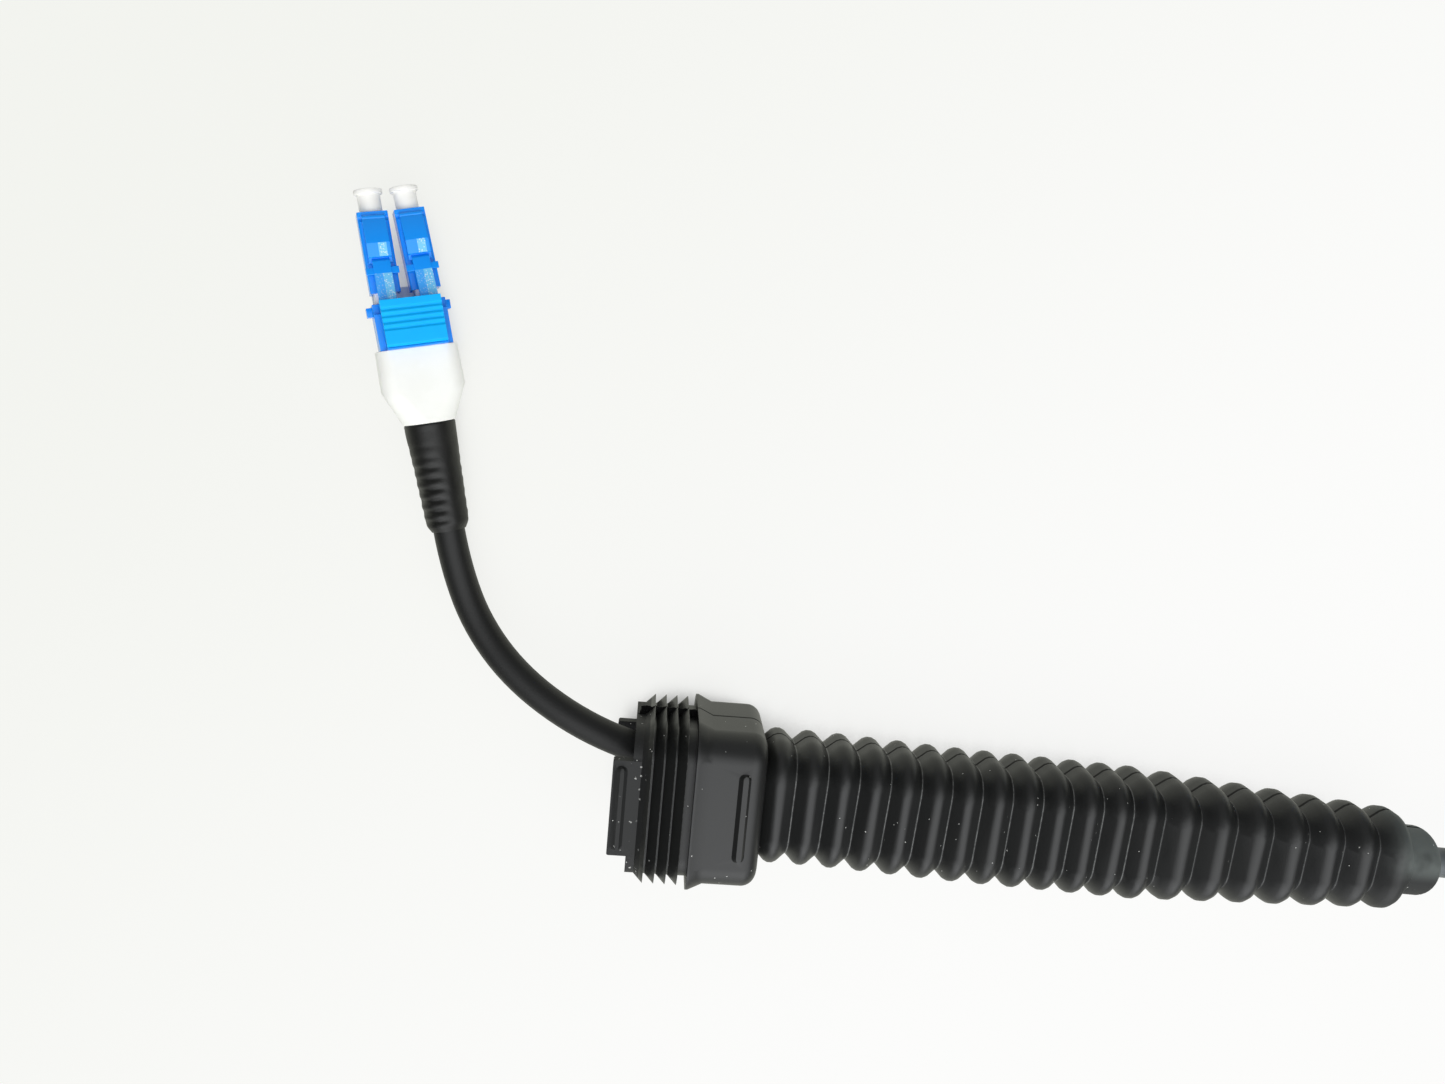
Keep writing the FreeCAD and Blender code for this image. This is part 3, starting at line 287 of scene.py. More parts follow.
def mouldedPlastic(name, look):
    material, desk, shader = newMaterial(name, look["roughness"], specular=look["gloss"])
    grain = placeGroup(desk, "grain", grain=look["grain"], patch=moulding["patch"])
    colour = desk.mixColour(grain.outputs["Tone"], linear(look["deep"]), linear(look["colour"]))
    desk.feed(shader, "Base Color", colour)
    shader.inputs["Subsurface Weight"].default_value = look["inside"]
    shader.inputs["Subsurface Scale"].default_value = moulding["insideReach"]
    shader.inputs["Subsurface Radius"].default_value = moulding["insideRadius"]
    desk.feed(shader, "Roughness", roughFrom(desk, look, moulding["roughSpread"], grain))
    bumpFrom(desk, shader, grain.outputs["Height"], look["depth"])
    return material


materials = {name: mouldedPlastic(name, look) for name, look in plastics.items()}


metals = {
    "springSteel": {"colour": (190, 190, 188), "roughness": 0.28},
    "crimpMetal": {"colour": (182, 180, 174), "roughness": 0.42},
}
drawn = {"grain": 0.0001, "patch": 0.002, "depth": 0.000004, "shade": 0.8}  # metres; shade is the darker tone


def drawnMetal(name, look):
    material, desk, shader = newMaterial(name, look["roughness"])
    grain = placeGroup(desk, "grain", grain=drawn["grain"], patch=drawn["patch"])
    base = linear(look["colour"])
    shade = (*(c * drawn["shade"] for c in base[:3]), 1.0)
    desk.feed(shader, "Base Color", desk.mixColour(grain.outputs["Tone"], shade, base))
    shader.inputs["Metallic"].default_value = 1.0
    bumpFrom(desk, shader, grain.outputs["Height"], drawn["depth"])
    return material


materials.update({name: drawnMetal(name, look) for name, look in metals.items()})


# the boot's rubber: lengths in mm, apart from the grain's and the specks' in metres
rubber = {
    "colour": (20, 21, 21),
    "dull": (24, 25, 24),  # dusty bloom on the moulded skin
    "roughness": 0.44,
    "roughSpread": (-0.015, 0.02),
    "grain": 0.00025,
    "patch": 0.02,
    "grainShare": 0.2,  # height of the grain, as a share of the seam's depth
    "speck": (225, 225, 220),
    "specks": {"spacing": 0.0016, "size": 0.052, "share": 0.6},
    "scuffs": {"spacing": 0.0009, "size": 0.17, "share": 0.5},
    "scuffEnd": -39.5,  # the rim and the tongue in front of it are scuffed
    "scuffPatch": 4.0,
    "scuffEdge": (0.42, 0.62),  # values of the noise, bare and scuffed
    "scuffShare": 0.6,
    "scuffRough": 0.22,
    "seamShadeColour": (6, 6, 6),  # the mould's parting line along both sides, painted near-black as shade in its groove
    "seamHalf": 0.36,
    "seamDepth": 0.06,
    "seamRough": 0.4,
    "core": 3,  # seam and lines are full over a third of their width
    "folds": (-21.072, 5.0, -20.0, 43.5),  # first valley, pitch, and the stretch where they are
    "tailFolds": (44.428, 6.3, 44.0, 88.4),
    "fins": (-33.472, 1.78, -39.2, -33.2),  # the fins' tips, worn and given a painted highlight
    "lineHighlightColour": (112, 113, 111),  # painted highlights: pale lines in the valleys and on the fins
    "lineHalf": 0.12,
    "finLineHalf": 0.07,
    "lineShare": 0.62,
    "tailLine": 0.4,  # fainter between the tail's folds
    "linePatch": 0.8,
    "lineEdge": (0.4, 0.6),  # values of the noise, faint and full
    "lineLeast": 0.35,
    "bloomAndSideLight": (98, 104, 101),  # the nozzle's skin is paler and duller from dusty bloom, and painted light makes it brighter on its far side
    "bloomStart": (82.0, 88.7),
    "paintedLightSide": (-39.4, -36.2),
    "bloomEdge": (0.0, 0.55),
    "bloomLeast": 0.05,
    "bloomRough": 0.3,
}


def bootLines(desk, along, look, key, half):
    # mask of thin lines across the boot, one at each step of a pitch along it
    first, pitch, low, high = look[key]
    gap = desk.maths("PINGPONG", desk.maths("SUBTRACT", along, first * mm), pitch * mm / 2)
    highlightLine = desk.ramp(gap, half * mm, half * mm / look["core"])
    inside = desk.maths("MULTIPLY", desk.maths("GREATER_THAN", along, low * mm),
                        desk.maths("LESS_THAN", along, high * mm))
    return desk.maths("MULTIPLY", highlightLine, inside)


def bootRubber(look):
    material, desk, shader = newMaterial("bootRubber", look["roughness"])
    grain = placeGroup(desk, "grain", grain=look["grain"], patch=look["patch"])
    specks = placeGroup(desk, "specks", **look["specks"])
    scuffs = placeGroup(desk, "specks", **look["scuffs"])
    unbent = desk.add("ShaderNodeAttribute", attribute_name="mouldPlace").outputs["Vector"]
    along, across, height = desk.add("ShaderNodeSeparateXYZ", {"Vector": unbent}).outputs
    rise = desk.maths("ABSOLUTE", desk.maths("SUBTRACT", height, bootAxis[1] * mm))
    seam = desk.ramp(rise, look["seamHalf"] * mm, look["seamHalf"] * mm / look["core"])
    # pale lines, unevenly strong: painted highlights along the valley creases and on the worn fin tips
    foldLine = bootLines(desk, along, look, "folds", look["lineHalf"])
    tailLine = bootLines(desk, along, look, "tailFolds", look["lineHalf"])
    tailLine = desk.maths("MULTIPLY", tailLine, look["tailLine"])
    finLine = bootLines(desk, along, look, "fins", look["finLineHalf"])
    highlightLine = desk.maths("MAXIMUM", desk.maths("MAXIMUM", foldLine, tailLine), finLine)
    uneven = desk.ramp(desk.noise(look["linePatch"] * mm), *look["lineEdge"])
    highlightLine = desk.maths("MULTIPLY", highlightLine, desk.between(uneven, look["lineLeast"]))
    # dust, and scuffs on the rim
    front = desk.maths("LESS_THAN", along, look["scuffEnd"] * mm)
    wearAndSheen = desk.noise(look["scuffPatch"] * mm)
    worn = desk.maths("MULTIPLY", front, desk.ramp(wearAndSheen, *look["scuffEdge"]))
    scuffed = desk.maths("MULTIPLY", scuffs.outputs["Mask"], worn)
    dusty = desk.maths("MAXIMUM", specks.outputs["Mask"], desk.maths("MULTIPLY", scuffed, look["scuffShare"]))
    # bloom on the nozzle, with painted light that brightens its far side
    dull = desk.ramp(along, *toMetres(look["bloomStart"]))
    # painted light: the nozzle's far side is made paler, as if lit from that side
    farSideLight = desk.between(desk.ramp(across, *toMetres(look["paintedLightSide"])), look["bloomLeast"])
    bloomAndSideLight = desk.maths("MULTIPLY", dull, farSideLight)
    bloomAndSideLight = desk.maths("MULTIPLY", bloomAndSideLight, desk.ramp(wearAndSheen, *look["bloomEdge"]))
    base = desk.mixColour(grain.outputs["Tone"], linear(look["colour"]), linear(look["dull"]))
    base = desk.mixColour(bloomAndSideLight, base, linear(look["bloomAndSideLight"]))
    # painted highlight: pale lines along the creases and the fin tips
    base = desk.mixColour(desk.maths("MULTIPLY", highlightLine, look["lineShare"]), base, linear(look["lineHighlightColour"]))
    # painted shade: the parting line's groove is coloured near-black
    base = desk.mixColour(seam, base, linear(look["seamShadeColour"]))
    desk.feed(shader, "Base Color", desk.mixColour(dusty, base, linear(look["speck"])))
    rough = desk.maths("MULTIPLY", seam, look["seamRough"])
    rough = desk.maths("ADD", rough, desk.maths("MULTIPLY", dull, look["bloomRough"]))
    rough = desk.maths("ADD", rough, desk.maths("MULTIPLY", front, look["scuffRough"]))
    even = roughFrom(desk, look, look["roughSpread"], grain)
    desk.feed(shader, "Roughness", desk.maths("ADD", even, rough))
    bumped = desk.maths("SUBTRACT", desk.maths("MULTIPLY", grain.outputs["Height"], look["grainShare"]), seam)
    bumpFrom(desk, shader, bumped, look["seamDepth"] * mm)
    return material


materials["bootRubber"] = bootRubber(rubber)


jacket = {
    "colour": (16, 17, 16),
    "dull": (21, 21, 20),
    "roughness": 0.5,
    "gloss": 0.42,
    "grain": 0.0003,  # metres
    "patch": 0.012,
    "depth": 0.00002,
    "speck": (170, 170, 168),
    "specks": {"spacing": 0.006, "size": 0.02, "share": 0.12},
    "pale": (100, 106, 108),  # painted highlight: a paler stretch of the tail just past the boot's nozzle
    "paleEnds": (91.0, 92.5, 95.0, 99.0),  # mm along the boot's axis
}


def cableJacket(look):
    material, desk, shader = newMaterial("cableJacket", look["roughness"], specular=look["gloss"])
    grain = placeGroup(desk, "grain", grain=look["grain"], patch=look["patch"])
    specks = placeGroup(desk, "specks", **look["specks"])
    base = desk.mixColour(grain.outputs["Tone"], linear(look["colour"]), linear(look["dull"]))
    along = desk.add("ShaderNodeSeparateXYZ", {"Vector": desk.objectPlace()}).outputs[0]
    first, full, fading, last = (end * mm for end in look["paleEnds"])
    # painted highlight: the stretch past the nozzle is made paler
    wearAndSheen = desk.maths("MULTIPLY", desk.ramp(along, first, full), desk.ramp(along, last, fading))
    base = desk.mixColour(wearAndSheen, base, linear(look["pale"]))
    desk.feed(shader, "Base Color", desk.mixColour(specks.outputs["Mask"], base, linear(look["speck"])))
    bumpFrom(desk, shader, grain.outputs["Height"], look["depth"])
    return material


materials["cableJacket"] = cableJacket(jacket)
print("materials made:", len(materials))


# moulded pieces: each CAD shape copied, welded and given small edge rounds, in mm
moulded = {
    "bellows_boot": {
        "name": "bellowsBoot", "material": "bootRubber", "round": 0.12, "planar": False, "soft": True,
        "valleys": {"round": 0.45, "steps": 3, "reach": 0.05},  # points within reach of a crease are on it
        "ribs": [  # narrow is a share of the rib's width
            {"middle": -43.322, "base": 21.5, "height": 0.55, "reach": 7.2, "lean": 0.15, "narrow": 0.6},
            {"middle": -24.472, "base": 22.5, "height": 0.55, "reach": 7.6, "lean": 0.12, "narrow": 0.45},
        ],
    },
    "plug_housing_1": {"name": "plugHousing.1", "material": "plugBlue", "round": 0.1},
    "plug_housing_2": {"name": "plugHousing.2", "material": "plugBlue", "round": 0.1},
    "dust_cap_1": {"name": "dustCap.1", "material": "capWhite", "round": 0.15},
    "dust_cap_2": {"name": "dustCap.2", "material": "capWhite", "round": 0.15},
    "duplex_clip": {"name": "duplexClip", "material": "plugBlue", "round": 0.12},
    "thumb_trigger": {"name": "thumbTrigger", "material": "triggerBlue", "round": 0.06},
    "back_shell_upper": {"name": "backShell.upper", "material": "shellWhite", "round": 0.1},
    "back_shell_lower": {"name": "backShell.lower", "material": "shellWhite", "round": 0.1},
    "far_plug_housing_1": {"name": "farPlugHousing.1", "material": "plugBlue", "round": 0.1},
    "far_plug_housing_2": {"name": "farPlugHousing.2", "material": "plugBlue", "round": 0.1},
    "far_dust_cap_1": {"name": "farDustCap.1", "material": "capWhite", "round": 0.15},
    "far_dust_cap_2": {"name": "farDustCap.2", "material": "capWhite", "round": 0.15},
    "far_duplex_clip": {"name": "farDuplexClip", "material": "plugBlue", "round": 0.12},
    "far_thumb_trigger": {"name": "farThumbTrigger", "material": "triggerBlue", "round": 0.06},
    "far_back_shell": {"name": "farBackShell", "material": "shellWhite", "round": 0.1},
    "coil_tie_1": {"name": "coilTie.1", "material": "tieBlack", "round": 0.15},
    "coil_tie_2": {"name": "coilTie.2", "material": "tieBlack", "round": 0.15},
}
edges = {
    "weld": 0.001,  # mm
    "flat": 0.5,  # degrees, faces this near to one plane become one face
    "sharp": 38.0,  # edges beyond this are rounded
    "smooth": 40.0,  # edges beyond this stay crisp in the shading
    "weight": 100,
}


def bodyOf(node):
    return next(body for body, nodes in record["behaviour"]["bodies"].items() if node in nodes)


def dress(piece, node, finish):
    setMaterial(piece, materials[finish])
    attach(piece, bodyOf(node))
    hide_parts(node)


# how the soft boot lies: its front turns about a point of the box, and the folds ease it back to straight
bend = {"turn": 2.0, "pivot": -26.5, "from": -21.0, "to": 15.0}  # degrees and mm


def bentOffset(along, look):
    # sideways shift of the boot's axis at a place along it, and the slope of the axis there
    slope = math.tan(math.radians(look["turn"]))
    if along <= look["from"]:
        return slope * (along - look["pivot"]), slope
    span = look["to"] - look["from"]
    start = slope * (look["from"] - look["pivot"])
    share = min(1.0, (along - look["from"]) / span)
    # a cubic that leaves the turned front and meets the straight tail without a kink
    fade = 1 - 3 * share ** 2 + 2 * share ** 3
    carry = share - 2 * share ** 2 + share ** 3
    fadeSlope = 6 * share ** 2 - 6 * share
    carrySlope = 1 - 4 * share + 3 * share ** 2
    return start * fade + slope * span * carry, start * fadeSlope / span + slope * carrySlope


def bendBoot(piece, look):
    # the unbent place is kept as an attribute, for the lines that follow the moulded shape
    unbent = piece.data.attributes.new("mouldPlace", "FLOAT_VECTOR", "POINT")
    for point in piece.data.vertices:
        unbent.data[point.index].vector = point.co
        place = point.co / mm
        shift, slope = bentOffset(place.x, look)
        point.co = toMetres((place.x - (place.y - bootAxis[0]) * slope, place.y + shift, place.z))


def roundValleys(piece, look):
    # the creases between folds are found by their places along the boot and rounded more than other edges
    creases = piece.vertex_groups.new(name="creases")
    for first, pitch, low, high in (rubber["folds"], rubber["tailFolds"]):
        for point in piece.data.vertices:
            along = point.co.x / mm
            off = (along - first + pitch / 2) % pitch - pitch / 2
            if low < along < high and abs(off) < look["reach"]:
                creases.add([point.index], 1.0, "REPLACE")
    applyModifier(piece, "BEVEL", width=look["round"] * mm, segments=look["steps"], limit_method="VGROUP",
                  vertex_group="creases", use_clamp_overlap=True)


ribBand = {"rise": (0.05, 1.05), "half": 1.1}  # a rib's points: shares of its height, and mm off its middle


def crestRib(piece, rib):
    # a rib's flat top is drawn in to a crest, so that its flanks slope
    low, high = ribBand["rise"]
    for point in piece.data.vertices:
        place = point.co / mm
        rise = (place.z - rib["base"]) / rib["height"]
        off = place.x - rib["middle"]
        within = abs(off) < ribBand["half"] and abs(place.y - bootAxis[0]) < rib["reach"]
        if within and low < rise < high:
            place.x = rib["middle"] + rib["lean"] * rise + off * (1 - rib["narrow"] * rise)
            point.co = place * mm


def mouldedCopy(node, look):
    piece = bpy.data.objects.new(look["name"], frame["nodes"][node].data.copy())
    bpy.context.scene.collection.objects.link(piece)
    makeActive(piece)
    bpy.ops.object.mode_set(mode="EDIT")
    bpy.ops.mesh.select_all(action="SELECT")
    bpy.ops.mesh.remove_doubles(threshold=edges["weld"] * mm)
    bpy.ops.mesh.customdata_custom_splitnormals_clear()
    if look.get("planar", True):
        bpy.ops.mesh.dissolve_limited(angle_limit=math.radians(edges["flat"]))
    bpy.ops.object.mode_set(mode="OBJECT")
    for rib in look.get("ribs", []):
        crestRib(piece, rib)
    if "valleys" in look:
        roundValleys(piece, look["valleys"])
    roundEdges(piece, look["round"], edges["sharp"])
    if look.get("soft"):
        bendBoot(piece, bend)
    smoothFaces(piece, edges["smooth"])
    applyModifier(piece, "WEIGHTED_NORMAL", keep_sharp=True, weight=edges["weight"])
    dress(piece, node, look["material"])
    return piece


pieces = {node: mouldedCopy(node, look) for node, look in moulded.items()}
print("moulded pieces made:", len(pieces))


# where the two duplex plugs lie, in mm and degrees; toe turns each plug body about the middle of the clip
plugPlaces = {
    "": {"spot": (-82.722, 26.81, 5.449), "heading": 105.0, "roll": 17.0, "toe": {1: -0.8, 2: 2.0}},
    "far_": {"spot": (120.2, 32.46, 4.2), "heading": 180.0, "roll": 0.0, "toe": {1: 0.0, 2: 0.0}},
}
plugPitch = 6.25  # between the two plug bodies
clipMiddle = 3.5  # ahead of the spot


def plugMatrix(look):
    turned = Matrix.Rotation(math.radians(look["heading"]), 4, "Z")
    leaned = Matrix.Rotation(math.radians(look["roll"]), 4, "X")
    return Matrix.Translation(toMetres(look["spot"])) @ turned @ leaned


def plugBodyMatrix(look, number):
    side = 1 if number == 1 else -1
    pivot = Matrix.Translation(toMetres((clipMiddle, side * plugPitch / 2, 0)))
    toe = Matrix.Rotation(math.radians(look["toe"][number]), 4, "Z")
    return plugMatrix(look) @ pivot @ toe @ Matrix.Translation(toMetres((-clipMiddle, 0, 0)))


def seat(piece, matrix, node, name, finish):
    # the piece is drawn on the plug's own axes and its mesh is then carried to its place
    piece.data.transform(matrix)
    piece.name = name
    dress(piece, node, finish)


# spring latches: each block's side drawn as a polygon (mm along the plug, mm up) and pulled to its width
latch = {
    "blocks": [
        {"width": 3.4, "side": [(19.95, 2.36), (19.2, 2.93), (15.75, 4.0), (13.75, 3.58), (13.65, 3.2),
                                (12.9, 3.2), (12.9, 3.0), (19.25, 2.4)]},
        {"width": 2.6, "side": [(13.65, 3.1), (13.1, 3.8), (6.2, 4.75), (6.2, 4.0), (13.2, 3.0)]},
        {"width": 4.8, "side": [(12.2, 3.1), (12.2, 3.72), (11.2, 3.86), (11.2, 3.24)]},
    ],
    "root": {"middle": (19.55, 2.4), "radius": 0.42, "width": 3.4, "corners": 20},
    "round": 0.06,
    "sharp": 22.0,  # degrees, edges beyond this are rounded
    "cuts": {"across": (0.05, -1.16), "along": (11.3,)},  # mm, borders of the frosted patches on the top, which carry a painted highlight
    "catch": {"along": (13.75, 15.75), "across": (-1.16, 0.05)},
    "arm": {"along": (6.2, 11.3), "across": (-1.3, 0.05)},
    "armLeft": {"along": (6.2, 11.3), "across": (0.05, 1.3)},
    "leftSheenShare": 0.35,  # the left half of the arm is frosted less and given less painted highlight
    "upward": 0.9,  # how far up a face has to look to be on the top
}
frostAndSheenBlue = {
    "colour": (10, 150, 254),
    "frostSheen": (112, 200, 248),
    # painted glints: near-white specks on the frosted patches
    "glint": (232, 243, 250),
    "glints": {"spacing": 0.00022, "size": 0.42, "share": 0.4},  # spacing in metres, like grain and depth
    "glintShare": 0.75,
    "roughness": 0.24,
    "gloss": 0.35,
    "grain": 0.00014,
    "depth": 0.00002,
    "plainGrain": 0.15,  # share of the grain's height outside the frosted patches
}


def latchPlastic(look):
    # the same blue as the plug, with frosted patches painted lighter as a highlight and strewn with painted
    # glints, where a face attribute is 1
    material, desk, shader = newMaterial("latchBlue", look["roughness"], specular=look["gloss"])
    grain = placeGroup(desk, "grain", grain=look["grain"], patch=moulding["patch"])
    glints = placeGroup(desk, "specks", **look["glints"])
    frostAndSheen = desk.add("ShaderNodeAttribute", attribute_name="frostAndSheen").outputs["Fac"]
    base = desk.mixColour(frostAndSheen, linear(look["colour"]), linear(look["frostSheen"]))
    glint = desk.maths("MULTIPLY", desk.maths("MULTIPLY", frostAndSheen, glints.outputs["Mask"]), look["glintShare"])
    desk.feed(shader, "Base Color", desk.mixColour(glint, base, linear(look["glint"])))
    height = desk.maths("MULTIPLY", grain.outputs["Height"], desk.maths("ADD", frostAndSheen, look["plainGrain"]))
    bumpFrom(desk, shader, height, look["depth"])
    return material


materials["latchBlue"] = latchPlastic(frostAndSheenBlue)


def pulledBlock(corners, width):
    deselectAll()
    bpy.ops.mesh.primitive_circle_add(vertices=len(corners), radius=mm, fill_type="NGON")
    block = bpy.context.object
    for point, (along, up) in zip(block.data.vertices, corners):
        point.co = toMetres((along, -width / 2, up))
    bpy.ops.object.mode_set(mode="EDIT")
    bpy.ops.mesh.select_all(action="SELECT")
    bpy.ops.mesh.extrude_region_move(TRANSFORM_OT_translate={"value": (0, width * mm, 0)})
    bpy.ops.mesh.select_all(action="SELECT")
    bpy.ops.mesh.normals_make_consistent(inside=False)
    bpy.ops.object.mode_set(mode="OBJECT")
    return block


def joined(parts):
    deselectAll()
    for part in parts:
        part.select_set(True)
    bpy.context.view_layer.objects.active = parts[0]
    bpy.ops.object.join()
    return parts[0]


def inPatch(place, patch):
    return all(low < value / mm < high for value, (low, high) in
               ((place.x, patch["along"]), (place.y, patch["across"])))


def latchArm(look):
    root = look["root"]
    along, up = root["middle"]
    radius = root["radius"]
    turns = [2 * math.pi * step / root["corners"] for step in range(root["corners"])]
    circle = [(along + radius * math.cos(turn), up + radius * math.sin(turn)) for turn in turns]
    blocks = [pulledBlock(block["side"], block["width"]) for block in look["blocks"]]
    piece = joined(blocks + [pulledBlock(circle, root["width"])])
    roundEdges(piece, look["round"], look["sharp"])
    bpy.ops.object.mode_set(mode="EDIT")
    cuts = [((0, place * mm, 0), (0, 1, 0)) for place in look["cuts"]["across"]]
    cuts += [((place * mm, 0, 0), (1, 0, 0)) for place in look["cuts"]["along"]]
    for place, normal in cuts:
        bpy.ops.mesh.select_all(action="SELECT")
        bpy.ops.mesh.bisect(plane_co=place, plane_no=normal)
    bpy.ops.object.mode_set(mode="OBJECT")
    # upward faces of the catch and the arm are marked for the frosting and its painted highlight
    frostAndSheen = piece.data.attributes.new("frostAndSheen", "FLOAT", "FACE")
    for face in piece.data.polygons:
        if face.normal.z < look["upward"]:
            continue
        full = inPatch(face.center, look["catch"]) or inPatch(face.center, look["arm"])
        part = look["leftSheenShare"] * inPatch(face.center, look["armLeft"])
        frostAndSheen.data[face.index].value = max(float(full), part)
    smoothFaces(piece, look["sharp"])
    return piece


for prefix, place in plugPlaces.items():
    for number in (1, 2):
        node = "%slatch_arm_%d" % (prefix, number)
        name = ("farLatchArm.%d" if prefix else "latchArm.%d") % number
        pieces[node] = latchArm(latch)
        seat(pieces[node], plugBodyMatrix(place, number), node, name, "latchBlue")
print("latches made")


# shrink sleeves: a ring pulled and scaled along the sleeve, its skin then sunk over the relief's slots
sleeve = {
    "points": 72,  # round it
    "skin": [(11.65, 3.8), (11.7, 3.9), (11.85, 3.95), (27.0, 3.4), (27.4, 3.36), (27.8, 3.24), (28.2, 3.04),
             (28.5, 2.86), (28.8, 2.7)],  # mm behind the clip's face, radius
    "inside": [(28.8, 2.53), (27.4, 2.53), (27.3, 2.9), (14.4, 3.4), (11.65, 3.4)],
    "step": 0.21,  # mm between rings along the skin
    "notches": (15.2, 16.9, 18.5, 20.2, 21.9, 23.65, 25.4, 27.05),
    "depths": (0.22, 0.35, 0.8, 0.85, 0.95, 1.0, 1.0, 0.9),  # share of the full depth
    "depth": 0.4,
    "half": 0.44,  # mm, half the length of a notch
    "turn": 41.0,  # degrees from the plug's left up to the middle of the notches, and again on the other side
    "sweep": (26.0, 64.0),  # degrees: full depth inside the first, none beyond the second
    "swell": 0.16,  # mm, how uneven the skin is
    "swellGrain": 3.2,
    "swellEnds": (11.65, 13.0, 27.0, 28.8),  # none at the outer two, full between the inner two
    "smooth": 50.0,  # degrees
}


def sleeveRings(look):
    # the skin's long taper is split into short steps
    rings = [look["skin"][0]]
    for (startAlong, startRadius), (endAlong, endRadius) in zip(look["skin"], look["skin"][1:]):
        count = max(1, round((endAlong - startAlong) / look["step"]))
        for step in range(1, count + 1):
            share = step / count
            rings.append((startAlong + (endAlong - startAlong) * share,
                          startRadius + (endRadius - startRadius) * share))
    return rings


def smoothFade(value, full, none):
    return smoothShare((none - value) / (none - full))


def notchShare(look, along, angle):
    # how far the skin sinks at a place, from 0 to 1
    dip = max(depth * math.exp(-((along - place) / look["half"]) ** 2)
              for place, depth in zip(look["notches"], look["depths"]))
    off = min(abs((angle - look["turn"] - half + 180) % 360 - 180) for half in (0, 180))
    return dip * smoothFade(off, *look["sweep"])


def shrinkSleeve(look):
    deselectAll()
    skin = sleeveRings(look)
    rings = skin + look["inside"]
    along, radius = rings[0]
    bpy.ops.mesh.primitive_circle_add(vertices=look["points"], radius=radius * mm, location=(0, 0, 0))
    piece = bpy.context.object
    bpy.ops.transform.rotate(value=math.pi / 2, orient_axis="Y", center_override=(0, 0, 0))
    bpy.ops.transform.translate(value=(-along * mm, 0, 0))
    bpy.ops.object.transform_apply(location=True, rotation=True, scale=True)
    bpy.ops.object.mode_set(mode="EDIT")
    bpy.ops.mesh.select_all(action="SELECT")
    for nextAlong, nextRadius in rings[1:]:
        bpy.ops.mesh.extrude_region_move(TRANSFORM_OT_translate={"value": ((along - nextAlong) * mm, 0, 0)})
        grow = nextRadius / radius
        bpy.ops.transform.resize(value=(1, grow, grow), center_override=(-nextAlong * mm, 0, 0))
        along, radius = nextAlong, nextRadius
    bpy.ops.object.mode_set(mode="OBJECT")
    outer = len(skin) * look["points"]
    notches = piece.vertex_groups.new(name="notches")
    swells = piece.vertex_groups.new(name="swells")
    front, frontFull, backFull, back = look["swellEnds"]
    for point in piece.data.vertices[:outer]:
        place = point.co / mm
        angle = math.degrees(math.atan2(place.z, place.y))
        swell = smoothFade(-place.x, backFull, back) * smoothFade(place.x, -frontFull, -front)
        notches.add([point.index], notchShare(look, -place.x, angle), "REPLACE")
        swells.add([point.index], swell, "REPLACE")
    bpy.ops.object.mode_set(mode="EDIT")
    bpy.ops.mesh.select_all(action="DESELECT")
    bpy.ops.mesh.select_non_manifold()  # the two open ends, front of the skin and of the bore
    bpy.ops.mesh.bridge_edge_loops()
    bpy.ops.mesh.select_all(action="SELECT")
    bpy.ops.mesh.normals_make_consistent(inside=False)
    bpy.ops.object.mode_set(mode="OBJECT")
    applyModifier(piece, "DISPLACE", vertex_group="notches", direction="NORMAL",
                  strength=-look["depth"] * mm, mid_level=0)
    noise = bpy.data.textures.new("sleeveSwell", "CLOUDS")
    noise.noise_scale = look["swellGrain"] * mm
    noise.noise_depth = 1
    applyModifier(piece, "DISPLACE", vertex_group="swells", texture=noise, texture_coords="LOCAL",
                  direction="NORMAL", strength=look["swell"] * mm, mid_level=0.5)
    smoothFaces(piece, look["smooth"])
    return piece


for prefix, place in plugPlaces.items():
    node = prefix + "shrink_sleeve"
    name = "farShrinkSleeve" if prefix else "shrinkSleeve"
    pieces[node] = shrinkSleeve(sleeve)
    seat(pieces[node], plugMatrix(place), node, name, "sleeveBlack")
print("sleeves made")


# ragged flash that the mould left on the parting line of the boot's rim, in mm and degrees
flash = {
    "strip": {"size": (9.0, 2.3), "place": (-36.6, -25.3, bootAxis[1]), "tilt": 0.0, "cells": (72, 6)},
    "flap": {"size": (2.7, 1.5), "place": (-39.9, -25.55, bootAxis[1]), "tilt": -10.0, "cells": (24, 16)},
    "tear": {"way": "Y", "depth": 0.6, "grain": 0.7},  # how ragged its edge is
    "wave": {"way": "Z", "depth": 0.35, "grain": 1.1},
    "thick": 0.14,
}


def flashSheet(look):
    deselectAll()
    along, across = look["cells"]
    bpy.ops.mesh.primitive_grid_add(x_subdivisions=along, y_subdivisions=across, size=1,
                                    location=toMetres(look["place"]))
    sheet = bpy.context.object
    bpy.ops.transform.resize(value=(look["size"][0] * mm, look["size"][1] * mm, 1))
    bpy.ops.transform.rotate(value=math.radians(look["tilt"]), orient_axis="X",
                             center_override=toMetres(look["place"]))
    bpy.ops.object.transform_apply(location=True, rotation=True, scale=True)
    return sheet


def mouldFlash(look):
    piece = joined([flashSheet(look["strip"]), flashSheet(look["flap"])])
    piece.name = "mouldFlash"
    for key in ("tear", "wave"):
        wear = look[key]
        noise = bpy.data.textures.new("tear" + wear["way"], "CLOUDS")
        noise.noise_scale = wear["grain"] * mm
        noise.noise_depth = 2
        applyModifier(piece, "DISPLACE", texture=noise, texture_coords="LOCAL", direction=wear["way"],
                      strength=wear["depth"] * mm, mid_level=0.5)
    applyModifier(piece, "SOLIDIFY", thickness=look["thick"] * mm, offset=0.0)
    bendBoot(piece, bend)
    setMaterial(piece, materials["bootRubber"])
    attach(piece, "boot")


mouldFlash(flash)
print("mould flash made")


